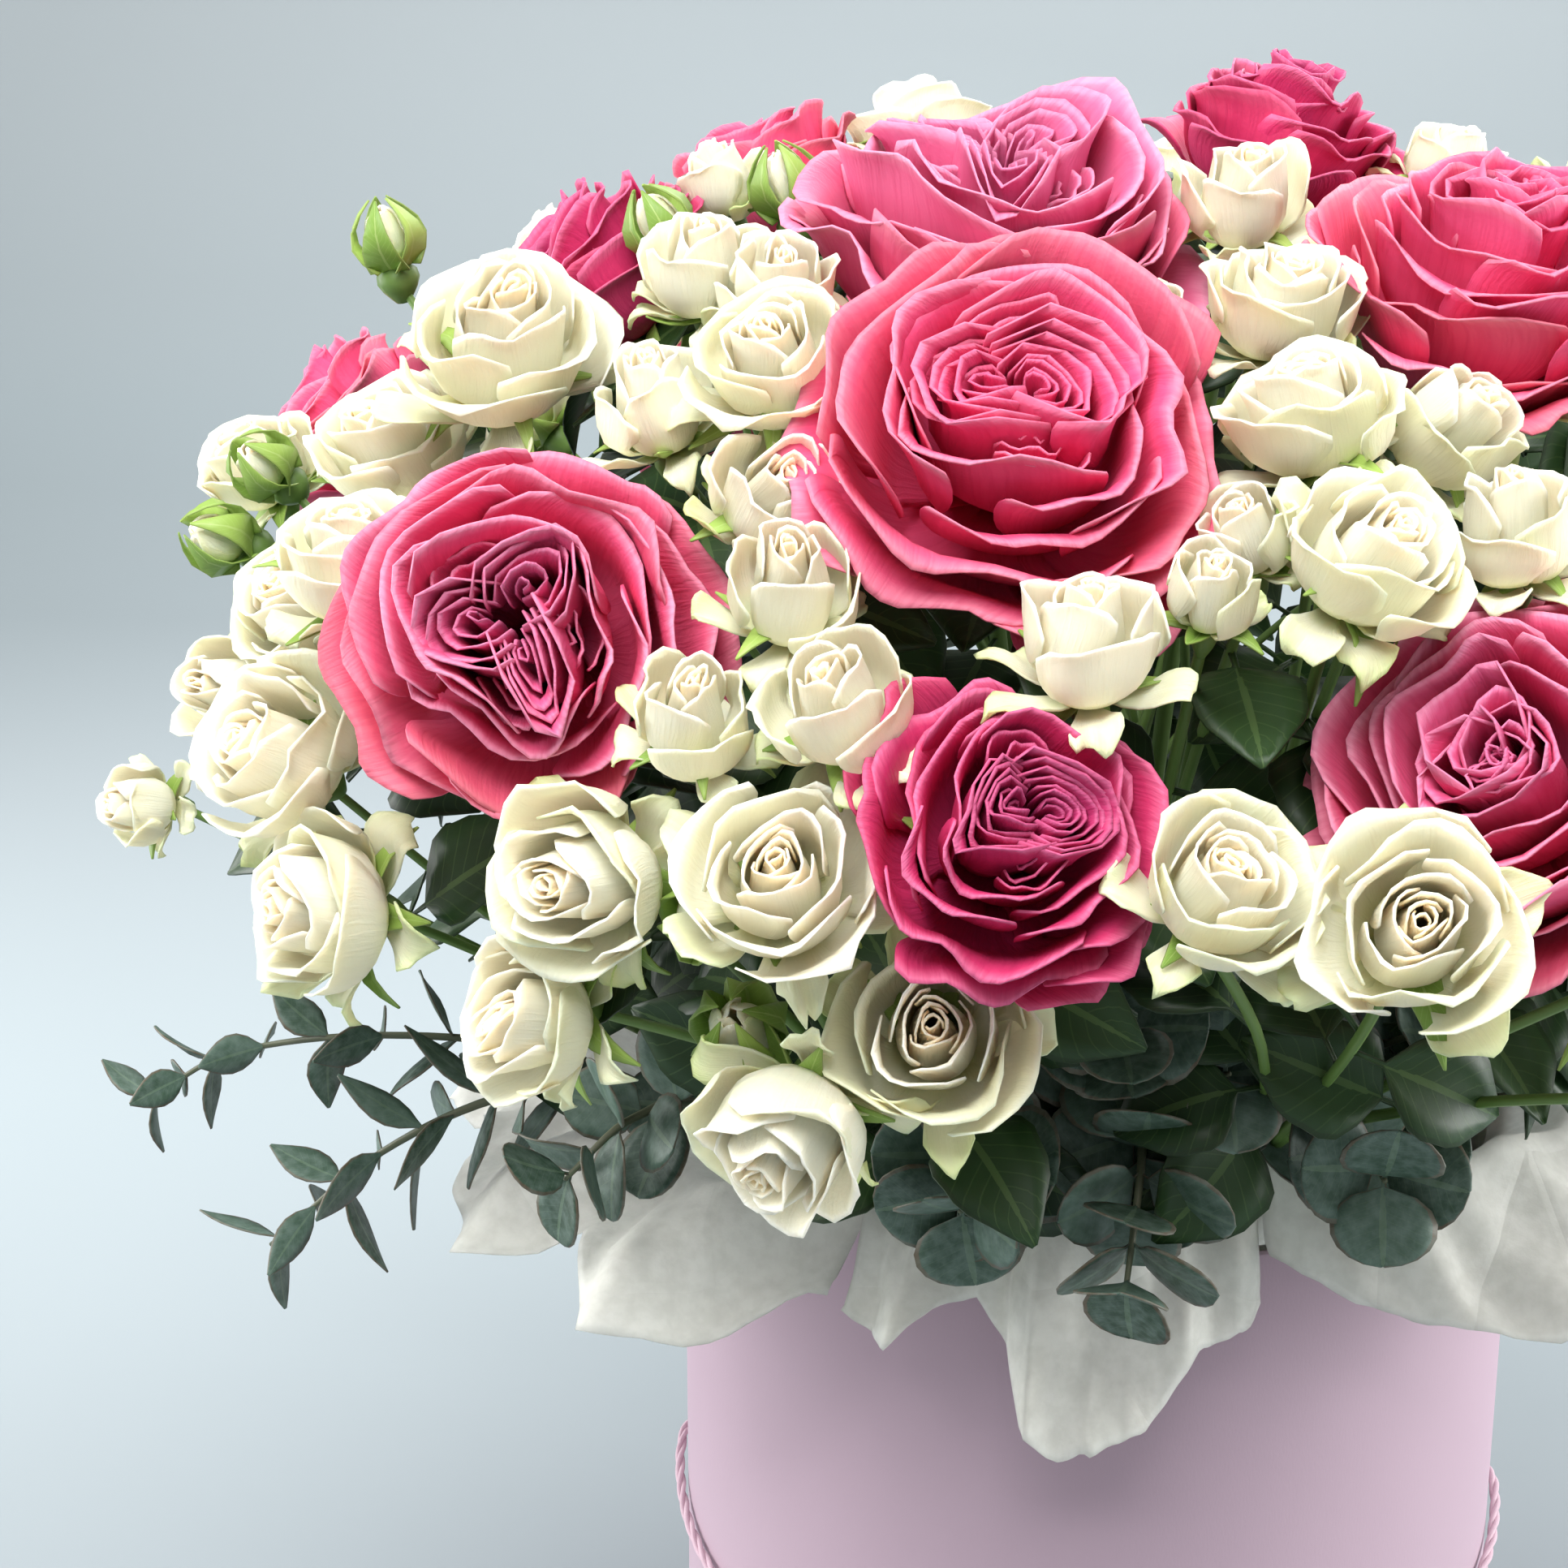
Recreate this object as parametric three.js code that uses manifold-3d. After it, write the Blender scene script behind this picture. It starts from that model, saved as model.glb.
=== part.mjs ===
// Flower hat box: a round cardboard box with a cord handle and a tissue collar, filled with wet foam
// that carries pink garden roses, white spray roses and eucalyptus in a low dome.
// Millimetres, +Z up, origin at the centre of the flat base, the photographed side facing -Y.
import * as THREE from "three";
import { mergeVertices } from "three/addons/utils/BufferGeometryUtils.js";
import Module from "manifold-3d";

const wasm = await Module();
wasm.setup();

// Box
const BOX_RADIUS = 125;
const BOX_HEIGHT = 240;
const WALL = 2.8;
const BASE_THICKNESS = 3;
const BOX_SIDES = 36;
// Waterproof liner and the foam in it
const LINER_RADIUS = 110;
const LINER_TOP = 228;
const LINER_WALL = 1.2;
const FOAM_SIDES = 16;
const FOAM_EDGE = 222;
const FOAM_TOP = 276;
// Cord handle
const CORD_RADIUS = 1.8;
const CORD_SIDES = 8;
const CORD_LOW = 93.7;
const CORD_DROOP = 0.00052;
const CORD_HOLE_ANGLE = 92;
const CORD_STEPS = 38;
// Tissue
const TISSUE = 0.8;
const TISSUE_RISE = 244.5;
// Dome on which the flowers stand: half width, half height and the height of its centre
const DOME_RADIUS = 262;
const DOME_HEIGHT = 180;
const DOME_CENTRE = 352;
// Every stem points at this height on the axis and ends this far from it
const FOCUS_HEIGHT = 175;
const STEM_END = 66;
const ROSE_STEM = 2.6;
const SPRAY_STEM = 2.2;
const TWIG = 1.6;
const HOLE_CLEARANCE = 2.2;
const GAP = 0.3;
// Share of their radii at which neighbouring blooms stop pressing each other apart
const PRESS = 0.92;
// Radius from which a garden rose has three guard petals, not two
const LARGE_ROSE = 43;

const DEG = Math.PI / 180;
const focus = new THREE.Vector3(0, 0, FOCUS_HEIGHT);

const BLUSH_CARD = { color: 0xcbb4c2, roughness: 0.85, metalness: 0 };
const KRAFT = { color: 0xb9a6ae, roughness: 0.9, metalness: 0 };
const LINER_FILM = { color: 0xdfe3e2, roughness: 0.35, metalness: 0 };
const FOAM_GREEN = { color: 0x3f5a3c, roughness: 1, metalness: 0 };
const PINK_CORD = { color: 0xc9a3b1, roughness: 0.8, metalness: 0 };
const TISSUE_WHITE = { color: 0xd9dad3, roughness: 0.75, metalness: 0 };
const ROSE_PINK = { color: 0xd8557f, roughness: 0.6, metalness: 0 };
const STEM_GREEN = { color: 0x5d7a3a, roughness: 0.6, metalness: 0 };
const SPRAY_WHITE = { color: 0xf1edda, roughness: 0.6, metalness: 0 };
const GUM_GREEN = { color: 0x5c7a6c, roughness: 0.65, metalness: 0 };

// Pink garden roses: place on the dome as azimuth from the front, height angle and radius factor,
// diameter, azimuth and height angle of the way the bloom faces, and its turn about that axis.
const ROSES = [
  ["rose_1", -1, 38.5, 0.98, 90, 12, 38, 10],
  ["rose_2", -17.5, 60.5, 0.97, 92, 3, 67, 40],
  ["rose_3", -32.5, 23, 0.99, 80, 3, 16, 75],
  ["rose_4", -2, 15, 1.01, 62, 16, 34, 20],
  ["rose_5", 20, 19.5, 0.97, 84, -26, 37, 55],
  ["rose_6", 31.5, 53, 1, 82, 20, 64, 0],
  ["rose_7", 42, 76, 0.98, 60, 60, 70, 30],
  ["rose_8", -62.5, 52.5, 0.96, 62, -75, 50, 65],
  ["rose_9", -95, 65.5, 0.95, 56, -110, 62, 15],
  ["rose_10", -96, 27.5, 0.99, 58, -98, 36, 50],
  ["rose_11", 62, 24, 0.98, 84, 60, 28, 5],
  ["rose_12", 124, 30, 0.86, 94, 124, 34, 35],
  ["rose_13", -142, 30, 0.86, 94, -142, 34, 60],
];

// Spray roses: each spray is one stem that forks to its own blooms and buds. Each line holds the
// same place and facing as above; an openness under 0.3 is a bud.
const SPRAYS = {
  spray_1: [
    [-50.5, 41.5, 1.02, 50, 13, 54, 1],
    [-55.5, 35.5, 1, 42, -24, 56, 0.7],
    [-75, 46, 1.12, 17, -38, 75, 0.1],
  ],
  spray_2: [
    [-48.5, 25.5, 1.01, 44, 7, 70, 0.9],
    [-59, 18, 0.98, 38, -24, 40, 0.9],
    [-61, 13.5, 0.99, 34, -30, 21, 0.6],
    [-83.5, 25, 1.03, 38, -35, 60, 0.6],
    [-74.5, 27, 1.03, 17, -31, 37, 0.1],
    [-75.5, 20, 1.03, 18, -42, 23, 0.1],
  ],
  spray_3: [
    [-52, 8.5, 0.99, 48, -34, 36, 0.8],
    [-79, -5, 1.08, 28, -36, 15, 0.4],
    [-46.5, -0.5, 0.99, 46, -45, 15, 0.8],
  ],
  spray_4: [
    [-33, 41.5, 0.99, 34, -29, 71, 0.5],
    [-22.5, 44, 1.01, 39, -3, 52, 1],
    [-27.5, 53.5, 1, 31, 7, 70, 1],
    [-40.5, 53.5, 1, 34, -8, 70, 0.8],
    [-18.5, 47, 0.95, 26, 5, 52, 0.8],
  ],
  spray_5: [
    [-20, 36, 0.98, 34, 24, 47, 0.8],
    [-17, 29, 1, 34, 6, 57, 0.6],
    [-20.5, 20, 1.01, 32, 9, 59, 0.7],
    [-13.5, 22.5, 1.02, 35, -16, 56, 0.8],
  ],
  spray_6: [
    [-24.5, 8, 1.01, 43, -26, 6, 0.8],
    [-29, -3.5, 0.99, 38, -42, 8, 0.7],
    [-12, 11, 1.01, 43, 6, 40, 0.9],
    [-19.5, 6.5, 0.98, 17, 8, 36, 0.2],
  ],
  spray_7: [
    [-9, -2.5, 0.94, 44, 4, 30, 0.9],
    [-14, -7.5, 0.99, 43, -22, -29, 0.7],
    [-19, -4, 0.92, 20, -7, 38, 0.2],
  ],
  spray_8: [
    [-0.5, 24.5, 1.02, 36, 0, 72, 0.8],
    [5.5, 35, 0.99, 26, -29, 63, 0.4],
    [4, 29.5, 1.02, 25, 10, 60, 0.3],
  ],
  spray_9: [
    [12, 31, 1.01, 40, 39, 49, 0.9],
    [22.5, 31.5, 0.98, 34, -8, 75, 0.8],
    [11.5, 42, 1.01, 40, -26, 66, 0.9],
    [23, 39, 0.98, 35, 48, 42, 0.6],
  ],
  spray_10: [
    [15, 52.5, 0.99, 38, 14, 70, 0.5],
    [15.5, 65, 0.99, 34, -2, 69, 0.5],
    [2, 54, 0.94, 24, 0, 50, 0.3],
    [58, 68, 1, 28, 60, 70, 0.5],
  ],
  spray_11: [
    [5, 12, 1.03, 38, 28, 46, 0.9],
    [10.5, 11.5, 1.04, 43, -3, 30, 1],
    [27, 3, 1, 40, 30, 6, 0.8],
    [29, -4, 1.03, 34, 24, -10, 0.6],
  ],
  spray_12: [
    [-58.5, 62.5, 1.01, 27, -60, 72, 0.4],
    [-51.5, 56, 1.02, 16, -60, 60, 0.1],
    [-48.5, 64, 1, 17, -50, 70, 0.1],
    [-112.5, 75.5, 0.97, 42, -140, 76, 0.8],
    [-163, 77, 0.93, 42, 176, 72, 0.8],
    [100.5, 56.5, 1, 46, 100, 66, 0.8],
  ],
  spray_13: [
    [37, 39, 1, 42, 38, 46, 0.9],
    [41, 19, 1, 40, 44, 22, 0.8],
    [45, 3, 1, 44, 48, 4, 0.9],
    [70, 4, 1, 42, 66, 0, 0.7],
  ],
  spray_14: [
    [92, 12, 0.97, 50, 92, 12, 0.9],
    [88, 32, 0.96, 50, 88, 36, 0.8],
    [112, 4, 0.9, 46, 112, 0, 0.8],
    [112, 50, 0.92, 50, 112, 54, 0.9],
    [84, 53, 0.96, 44, 82, 56, 0.8],
  ],
  spray_15: [
    [150, 10, 0.86, 50, 150, 10, 0.9],
    [164, 33, 0.86, 50, 164, 36, 0.8],
    [176, 6, 0.86, 48, 176, 2, 0.9],
    [152, 56, 0.9, 50, 152, 62, 0.9],
    [-168, 20, 0.86, 48, -168, 22, 0.8],
    [-160, 55, 0.9, 50, -162, 58, 0.8],
    [-176, 42, 0.88, 50, -176, 44, 0.9],
    [176, 63, 0.92, 46, 178, 66, 0.8],
  ],
  spray_16: [
    [-146, 4, 0.86, 46, -146, 0, 0.8],
    [-117, 6, 0.92, 48, -116, 6, 0.9],
    [-116, 27, 0.92, 44, -116, 28, 0.8],
    [-122, 49, 0.92, 50, -122, 52, 0.9],
    [-138, 62, 0.94, 48, -138, 64, 0.8],
    [-88, 51, 0.96, 42, -92, 54, 0.8],
  ],
};

// Leaves on the rose stems: stem name, then the tip's place on the dome and the width of each leaf.
const LEAVES = {
  rose_1_stem: [[-10, 27, 0.8, 24]],
  rose_2_stem: [[2, 52, 0.84, 22]],
  rose_3_stem: [[-37, 8, 0.86, 26], [-44, 13, 0.82, 22]],
  rose_4_stem: [[2, 4, 0.82, 22], [-12, 5, 0.78, 22]],
  rose_5_stem: [[24, 4, 0.86, 24], [10, 21, 0.8, 22]],
  rose_6_stem: [[33, 43, 0.84, 24]],
  rose_10_stem: [[-88, 12, 0.88, 26]],
  rose_11_stem: [[58, 6, 0.88, 24]],
  rose_12_stem: [[134, 12, 0.74, 28]],
  rose_13_stem: [[-132, 12, 0.74, 28]],
};

// Eucalyptus branches: waypoints of the stem in millimetres, then leaf length, leaf width and the
// number of leaf pairs; later lines of a branch are side shoots that start on the first.
const GUM = {
  eucalyptus_1: [
    { route: [[-22, -150, 283], [-28, -172, 288], [-31, -184, 279]], length: 25, width: 25, pairs: 3 },
  ],
  eucalyptus_2: [
    { route: [[10, -138, 288], [12, -170, 290], [9, -192, 264]], length: 26, width: 22, pairs: 4 },
    { route: [[3, -146, 304], [6, -174, 326]], length: 24, width: 24, pairs: 3 },
    { route: [[22, -140, 298], [32, -170, 312]], length: 24, width: 23, pairs: 2 },
  ],
  eucalyptus_3: [
    { route: [[64, -122, 272], [68, -152, 286], [70, -172, 287]], length: 25, width: 24, pairs: 3 },
    { route: [[66, -128, 300], [88, -150, 320]], length: 22, width: 22, pairs: 2 },
    { route: [[44, -128, 298], [50, -156, 316]], length: 22, width: 22, pairs: 2 },
  ],
  eucalyptus_4: [
    { route: [[-128, -82, 266], [-160, -98, 268], [-196, -100, 250], [-232, -92, 216]],
      length: 30, width: 10, pairs: 5 },
    { route: [[-150, -76, 272], [-200, -78, 276], [-250, -62, 262], [-278, -58, 244]],
      length: 22, width: 11, pairs: 4 },
  ],
  eucalyptus_5: [
    { route: [[-98, -112, 272], [-118, -138, 280], [-134, -152, 268]], length: 24, width: 18, pairs: 3 },
  ],
  eucalyptus_6: [
    { route: [[150, -40, 276], [196, -50, 284], [232, -58, 262]], length: 26, width: 22, pairs: 4 },
  ],
  eucalyptus_7: [
    { route: [[-40, 146, 276], [-58, 196, 284], [-70, 228, 258]], length: 26, width: 22, pairs: 4 },
  ],
};

// The four tissue sheets: azimuth span, how far the fold stands above the rim, then for equally
// spaced azimuths across it the radius and the height of the sheet's free edge.
const SHEETS = {
  tissue_front: { span: [-23, 18.5], lift: 18, edge: [
    [164, 234], [170, 232], [150, 231], [156, 216], [159, 200], [155, 212], [148, 226], [140, 238]] },
  tissue_right: { span: [19.5, 118], lift: 27, edge: [
    [140, 243], [176, 236], [188, 228], [178, 236], [184, 240], [202, 232], [178, 238], [186, 230]] },
  tissue_back: { span: [119, 231], lift: 14, edge: [
    [184, 232], [172, 240], [200, 230], [180, 240], [204, 228], [178, 238], [194, 230], [182, 238]] },
  tissue_left: { span: [-128, -24], lift: 12, edge: [
    [180, 238], [196, 230], [178, 240], [196, 234], [190, 238], [212, 234], [206, 229], [164, 236]] },
};

function direction(azimuth, elevation) {
  const a = azimuth * DEG;
  const e = elevation * DEG;
  return new THREE.Vector3(Math.sin(a) * Math.cos(e), -Math.cos(a) * Math.cos(e), Math.sin(e));
}

function onDome(azimuth, elevation, factor) {
  const n = direction(azimuth, elevation);
  return new THREE.Vector3(
    n.x * DOME_RADIUS * factor, n.y * DOME_RADIUS * factor, n.z * DOME_HEIGHT * factor + DOME_CENTRE);
}

// A closed three.js geometry as a solid that can be joined and cut.
function toSolid(geometry) {
  const bare = geometry.clone();
  bare.deleteAttribute("normal");
  bare.deleteAttribute("uv");
  const merged = mergeVertices(bare, 1e-4);
  const position = merged.attributes.position.array;
  const index = merged.index.array;
  const faces = [];
  let volume = 0;
  for (let i = 0; i < index.length; i += 3) {
    const [a, b, c] = [index[i], index[i + 1], index[i + 2]];
    if (a === b || b === c || c === a) continue;
    faces.push([a, b, c]);
    const [p, q, r] = [a, b, c].map((k) => new THREE.Vector3().fromArray(position, k * 3));
    volume += p.dot(q.cross(r));
  }
  const triVerts = new Uint32Array(faces.flatMap(([a, b, c]) => (volume < 0 ? [a, c, b] : [a, b, c])));
  const vertProperties = new Float32Array(position);
  return new wasm.Manifold(new wasm.Mesh({ numProp: 3, vertProperties, triVerts }));
}

function toGeometry(solid) {
  const mesh = solid.getMesh();
  const geometry = new THREE.BufferGeometry();
  geometry.setAttribute("position", new THREE.BufferAttribute(new Float32Array(mesh.vertProperties), 3));
  geometry.setIndex(new THREE.BufferAttribute(new Uint32Array(mesh.triVerts), 1));
  geometry.computeVertexNormals();
  return geometry;
}

// A turned body: the profile is a list of [radius, height], and move may shift each ring's points.
function turned(profile, sides, move) {
  const geometry = new THREE.LatheGeometry(profile.map(([r, z]) => new THREE.Vector2(r, z)), sides);
  geometry.rotateX(Math.PI / 2);
  if (move) {
    const position = geometry.attributes.position;
    for (let i = 0; i < position.count; i += 1) {
      const ring = i % profile.length;
      const side = Math.floor(i / profile.length) % sides;
      const [scale, lift] = move(ring, side);
      position.setXYZ(i, position.getX(i) * scale, position.getY(i) * scale, position.getZ(i) + lift);
    }
  }
  return geometry;
}

// A curve that runs straight from waypoint to waypoint.
class Route extends THREE.Curve {
  constructor(points) {
    super();
    this.points = points;
  }

  getPoint(t, target = new THREE.Vector3()) {
    const along = THREE.MathUtils.clamp(t, 0, 1) * (this.points.length - 1);
    const leg = Math.min(Math.floor(along), this.points.length - 2);
    return target.lerpVectors(this.points[leg], this.points[leg + 1], along - leg);
  }

  getPointAt(t, target) {
    return this.getPoint(t, target);
  }

  getTangentAt(t, target) {
    return this.getTangent(t, target);
  }
}

// A round rod with a ring of corners at each waypoint.
function rod(points, radius, sides) {
  const corners = Array.from({ length: sides }, (_, i) => {
    const angle = (i / sides) * 2 * Math.PI;
    return new THREE.Vector2(Math.cos(angle) * radius, Math.sin(angle) * radius);
  });
  return new THREE.ExtrudeGeometry(new THREE.Shape(corners), {
    steps: points.length - 1, bevelEnabled: false, extrudePath: new Route(points) });
}

// A thin sheet over a grid: place(u, v) with u from -1 to 1 across and v from 0 to 1 along. Both
// faces are split into the same triangles.
function sheet(across, along, thickness, place) {
  const plane = new THREE.PlaneGeometry(2, 1, across, along);
  const position = plane.attributes.position;
  for (let i = 0; i < position.count; i += 1) {
    const p = place(position.getX(i), 0.5 - position.getY(i));
    position.setXYZ(i, p.x, p.y, p.z);
  }
  plane.computeVertexNormals();
  const normal = plane.attributes.normal;
  const count = position.count;
  const points = new Float32Array(count * 6);
  for (let i = 0; i < count; i += 1) {
    const p = new THREE.Vector3().fromBufferAttribute(position, i);
    const n = new THREE.Vector3().fromBufferAttribute(normal, i).multiplyScalar(thickness / 2);
    p.clone().add(n).toArray(points, i * 3);
    p.clone().sub(n).toArray(points, (i + count) * 3);
  }
  const faces = [];
  const top = plane.index.array;
  for (let i = 0; i < top.length; i += 3) {
    faces.push(top[i], top[i + 1], top[i + 2]);
    faces.push(top[i] + count, top[i + 2] + count, top[i + 1] + count);
  }
  const width = across + 1;
  const rim = [];
  for (let i = 0; i < across; i += 1) rim.push(i);
  for (let j = 0; j < along; j += 1) rim.push(j * width + across);
  for (let i = across; i > 0; i -= 1) rim.push(along * width + i);
  for (let j = along; j > 0; j -= 1) rim.push(j * width);
  rim.forEach((a, k) => {
    const b = rim[(k + 1) % rim.length];
    faces.push(a, b, b + count, a, b + count, a + count);
  });
  const geometry = new THREE.BufferGeometry();
  geometry.setAttribute("position", new THREE.BufferAttribute(points, 3));
  geometry.setIndex(faces);
  return geometry;
}

// A frame whose Z axis is the given way, turned about it.
function frame(origin, way, turn = 0) {
  const spin = new THREE.Matrix4().makeRotationZ(turn);
  const lean = new THREE.Matrix4().makeRotationFromQuaternion(
    new THREE.Quaternion().setFromUnitVectors(new THREE.Vector3(0, 0, 1), way));
  return lean.multiply(spin).setPosition(origin);
}

// Petal layers raised in rings: each layer rises to a lobed rim and falls into the groove behind it.
// Rings are [radius, height, lobe depth, shift of the lobes] as shares of the diameter's half.
const GARDEN_RINGS = [
  [0.24, 0, 0, 0], [0.84, 0.5, 0.04, 0], [0.98, 0.98, 0.12, 0], [0.8, 0.84, 0.05, 0],
  [0.75, 1.16, 0.12, 0.5], [0.55, 0.88, 0.05, 0.5], [0.48, 1.24, 0.14, 0],
];
const OPEN_RINGS = [
  [0.84, 0.42, 0.04, 0], [1, 1.1, 0.13, 0], [0.74, 0.8, 0.04, 0], [0.58, 1.34, 0.16, 0.5],
];
const CUP_RINGS = [[0.84, 0.5, 0.04, 0], [0.98, 1.3, 0.14, 0], [0.62, 1.0, 0.04, 0.5]];
const BUD_RINGS = [[0.8, 0.6, 0, 0], [0.9, 1.2, 0.08, 0]];

function layered(rings, centre, sides, lobes, radius) {
  const profile = [[0, 0], ...rings.map(([r, z]) => [r * radius, z * radius]), [0, centre * radius]];
  return turned(profile, sides, (ring, side) => {
    if (ring === 0 || ring > rings.length) return [1, 0];
    const [, , depth, shift] = rings[ring - 1];
    const phase = ((side * lobes) / sides + shift) % 1;
    const notch = Math.abs(2 * phase - 1) ** 2;
    return [1 - depth * notch, -depth * notch * radius * 0.7];
  });
}

function bloomHeight(bloom) {
  if (bloom.garden) return 1.24 * bloom.radius;
  if (bloom.open < 0.3) return 2.3 * bloom.radius;
  return (bloom.radius >= 19 ? 1.34 : 1.5) * bloom.radius;
}

function bloomForm(bloom) {
  if (bloom.garden) return layered(GARDEN_RINGS, 0.92, 10, 5, bloom.radius);
  if (bloom.open < 0.3) return layered(BUD_RINGS, 2.3, 6, 3, bloom.radius);
  if (bloom.radius >= 19) return layered(OPEN_RINGS, 1.0, 8, 4, bloom.radius);
  return layered(CUP_RINGS, 1.5, 8, 4, bloom.radius);
}

// The space that a bloom keeps to itself.
function bloomSpace(bloom) {
  const r = bloom.radius + GAP;
  const high = bloomHeight(bloom) + GAP;
  return turned([[0, -GAP], [0.92 * r, 0.34 * high], [1.02 * r, 0.84 * high], [0, 1.08 * high]], 8);
}

// Guard petals that stand out below a garden rose.
function guardPetal(radius, turn) {
  const geometry = sheet(2, 1, 1.4, (u, v) => {
    const out = radius * (0.4 + 0.8 * v);
    const up = radius * (0.3 + 0.44 * v - 0.1 * u * u * v);
    return new THREE.Vector3(u * radius * (0.3 + 0.3 * v), -out * (1 - 0.14 * u * u), up);
  });
  return geometry.rotateZ(turn);
}

function guardCount(bloom) {
  if (!bloom.garden) return 0;
  return bloom.radius > LARGE_ROSE ? 3 : 2;
}

// The green hip below a garden rose, with its five sepals drawn out of it as a star.
function calyx(radius) {
  const top = 0.2 * radius;
  return turned([[0, -12], [4.6, -5.2], [4.6, -4], [top, -GAP], [0, -GAP]], 10, (ring, side) => {
    if (side % 2 === 0 && (ring === 1 || ring === 2)) return [(0.34 * radius + 4) / 4.6, -2.6];
    return [1, 0];
  });
}

function between(from, to, share) {
  return new THREE.Vector3().lerpVectors(from, to, share);
}

// Blooms press each other apart until they only touch with their outer petals.
function settle(blooms) {
  for (let round = 0; round < 24; round += 1) {
    for (let i = 0; i < blooms.length; i += 1) {
      for (let j = i + 1; j < blooms.length; j += 1) {
        const apart = new THREE.Vector3().subVectors(blooms[j].centre, blooms[i].centre);
        const short = PRESS * (blooms[i].radius + blooms[j].radius) - apart.length();
        if (short > 0) {
          apart.setLength(short * 0.25);
          blooms[i].centre.sub(apart);
          blooms[j].centre.add(apart);
        }
      }
    }
  }
}

function makeBloom(name, place, garden) {
  const [azimuth, elevation, factor, diameter, faceAzimuth, faceElevation, last] = place;
  const bloom = { name, garden, radius: diameter / 2, way: direction(faceAzimuth, faceElevation) };
  bloom.open = garden ? 1 : last;
  bloom.turn = garden ? last * DEG : azimuth * 7 * DEG;
  bloom.centre = onDome(azimuth, elevation, factor);
  return bloom;
}

const blooms = [
  ...ROSES.map(([name, ...place]) => makeBloom(name, place, true)),
  ...Object.entries(SPRAYS).flatMap(([name, places]) => places.map((p) => makeBloom(name, p, false))),
];
settle(blooms);
for (const bloom of blooms) {
  bloom.base = bloom.centre.clone().addScaledVector(bloom.way, -0.5 * bloomHeight(bloom));
  bloom.frame = frame(bloom.base, bloom.way, bloom.turn);
  bloom.space = toSolid(bloomSpace(bloom).applyMatrix4(bloom.frame));
  bloom.rise = bloom.centre.distanceTo(focus);
}

function joinAll(solids) {
  return solids.reduce((all, one) => all.add(one));
}

function overlap(a, b) {
  const [p, q] = [a.boundingBox(), b.boundingBox()];
  return [0, 1, 2].every((k) => p.min[k] < q.max[k] && q.min[k] < p.max[k]);
}

function cutBy(solid, cutters) {
  return cutters.filter((c) => overlap(solid, c)).reduce((left, c) => left.subtract(c), solid);
}

// The largest body of a cut solid: loose scraps are dropped.
function largest(solid) {
  return solid.decompose().reduce((best, one) => (one.volume() > best.volume() ? one : best));
}

// A blade through its stations, each a point on the midrib and half the width there; grow makes the
// room that it keeps to itself.
function blade(stations, side, grow = 0) {
  const last = stations.length - 1;
  return toSolid(sheet(1, last, 0.9 + 2 * grow, (u, v) => {
    const [point, half] = stations[Math.round(v * last)];
    return point.clone().addScaledVector(side, u * (half + grow));
  }));
}

// A single leaf from its foot on the stem to its tip.
function leaf(foot, tip, width) {
  const along = new THREE.Vector3().subVectors(tip, foot);
  const side = new THREE.Vector3().crossVectors(along, new THREE.Vector3(0, 0, 1)).normalize();
  const lift = new THREE.Vector3().crossVectors(side, along).normalize();
  const middle = between(foot, tip, 0.55).addScaledVector(lift, 0.1 * along.length());
  return { side, stations: [[foot, 0.9], [middle, 0.5 * width], [tip, 0.1 * width]] };
}

// Two leaves that face each other across the stem, joined round it.
function leafPair(node, along, level, length, width) {
  const ways = [-1, 1].map((sign) => (
    level.clone().multiplyScalar(sign).addScaledVector(along, 0.5).normalize()));
  const tips = ways.map((way) => node.clone().addScaledVector(way, length));
  const waists = ways.map((way) => node.clone().addScaledVector(way, 0.55 * length));
  const normal = new THREE.Vector3().crossVectors(along, level);
  const side = new THREE.Vector3().crossVectors(level, normal).normalize();
  const stations = [
    [tips[0], 0.12 * width], [waists[0], 0.5 * width], [node, 1],
    [waists[1], 0.5 * width], [tips[1], 0.12 * width],
  ];
  return { side, stations };
}

// The spot on a stem, between the foam and the bloom's own curve, that lies nearest to a leaf's tip.
function nearestOn(points, target) {
  const spots = [0.5, 0.75].map((share) => between(points[0], points[1], share));
  spots.push(points[1]);
  for (const share of [0.25, 0.5, 0.75]) spots.push(between(points[1], points[2], share));
  return spots.reduce((best, p) => (p.distanceTo(target) < best.distanceTo(target) ? p : best));
}

// Each stem: its own solid, the room that it keeps to itself, its leaves and its hole in the foam.
const stems = [];

function addStem(name, finish, rods, extras, leaves) {
  const [first, second] = rods[0].points;
  const way = new THREE.Vector3().subVectors(second, first).normalize();
  stems.push({
    name,
    finish,
    solid: joinAll([...rods.map((r) => toSolid(rod(r.points, r.radius, r.sides))), ...extras]),
    room: joinAll(rods.map((r) => toSolid(rod(r.points, r.radius * 1.2 + GAP, r.sides)))),
    hole: toSolid(rod([
      first.clone().addScaledVector(way, -GAP), first.clone().addScaledVector(way, 70),
    ], rods[0].radius + HOLE_CLEARANCE, 4)),
    leaves,
  });
}

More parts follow.
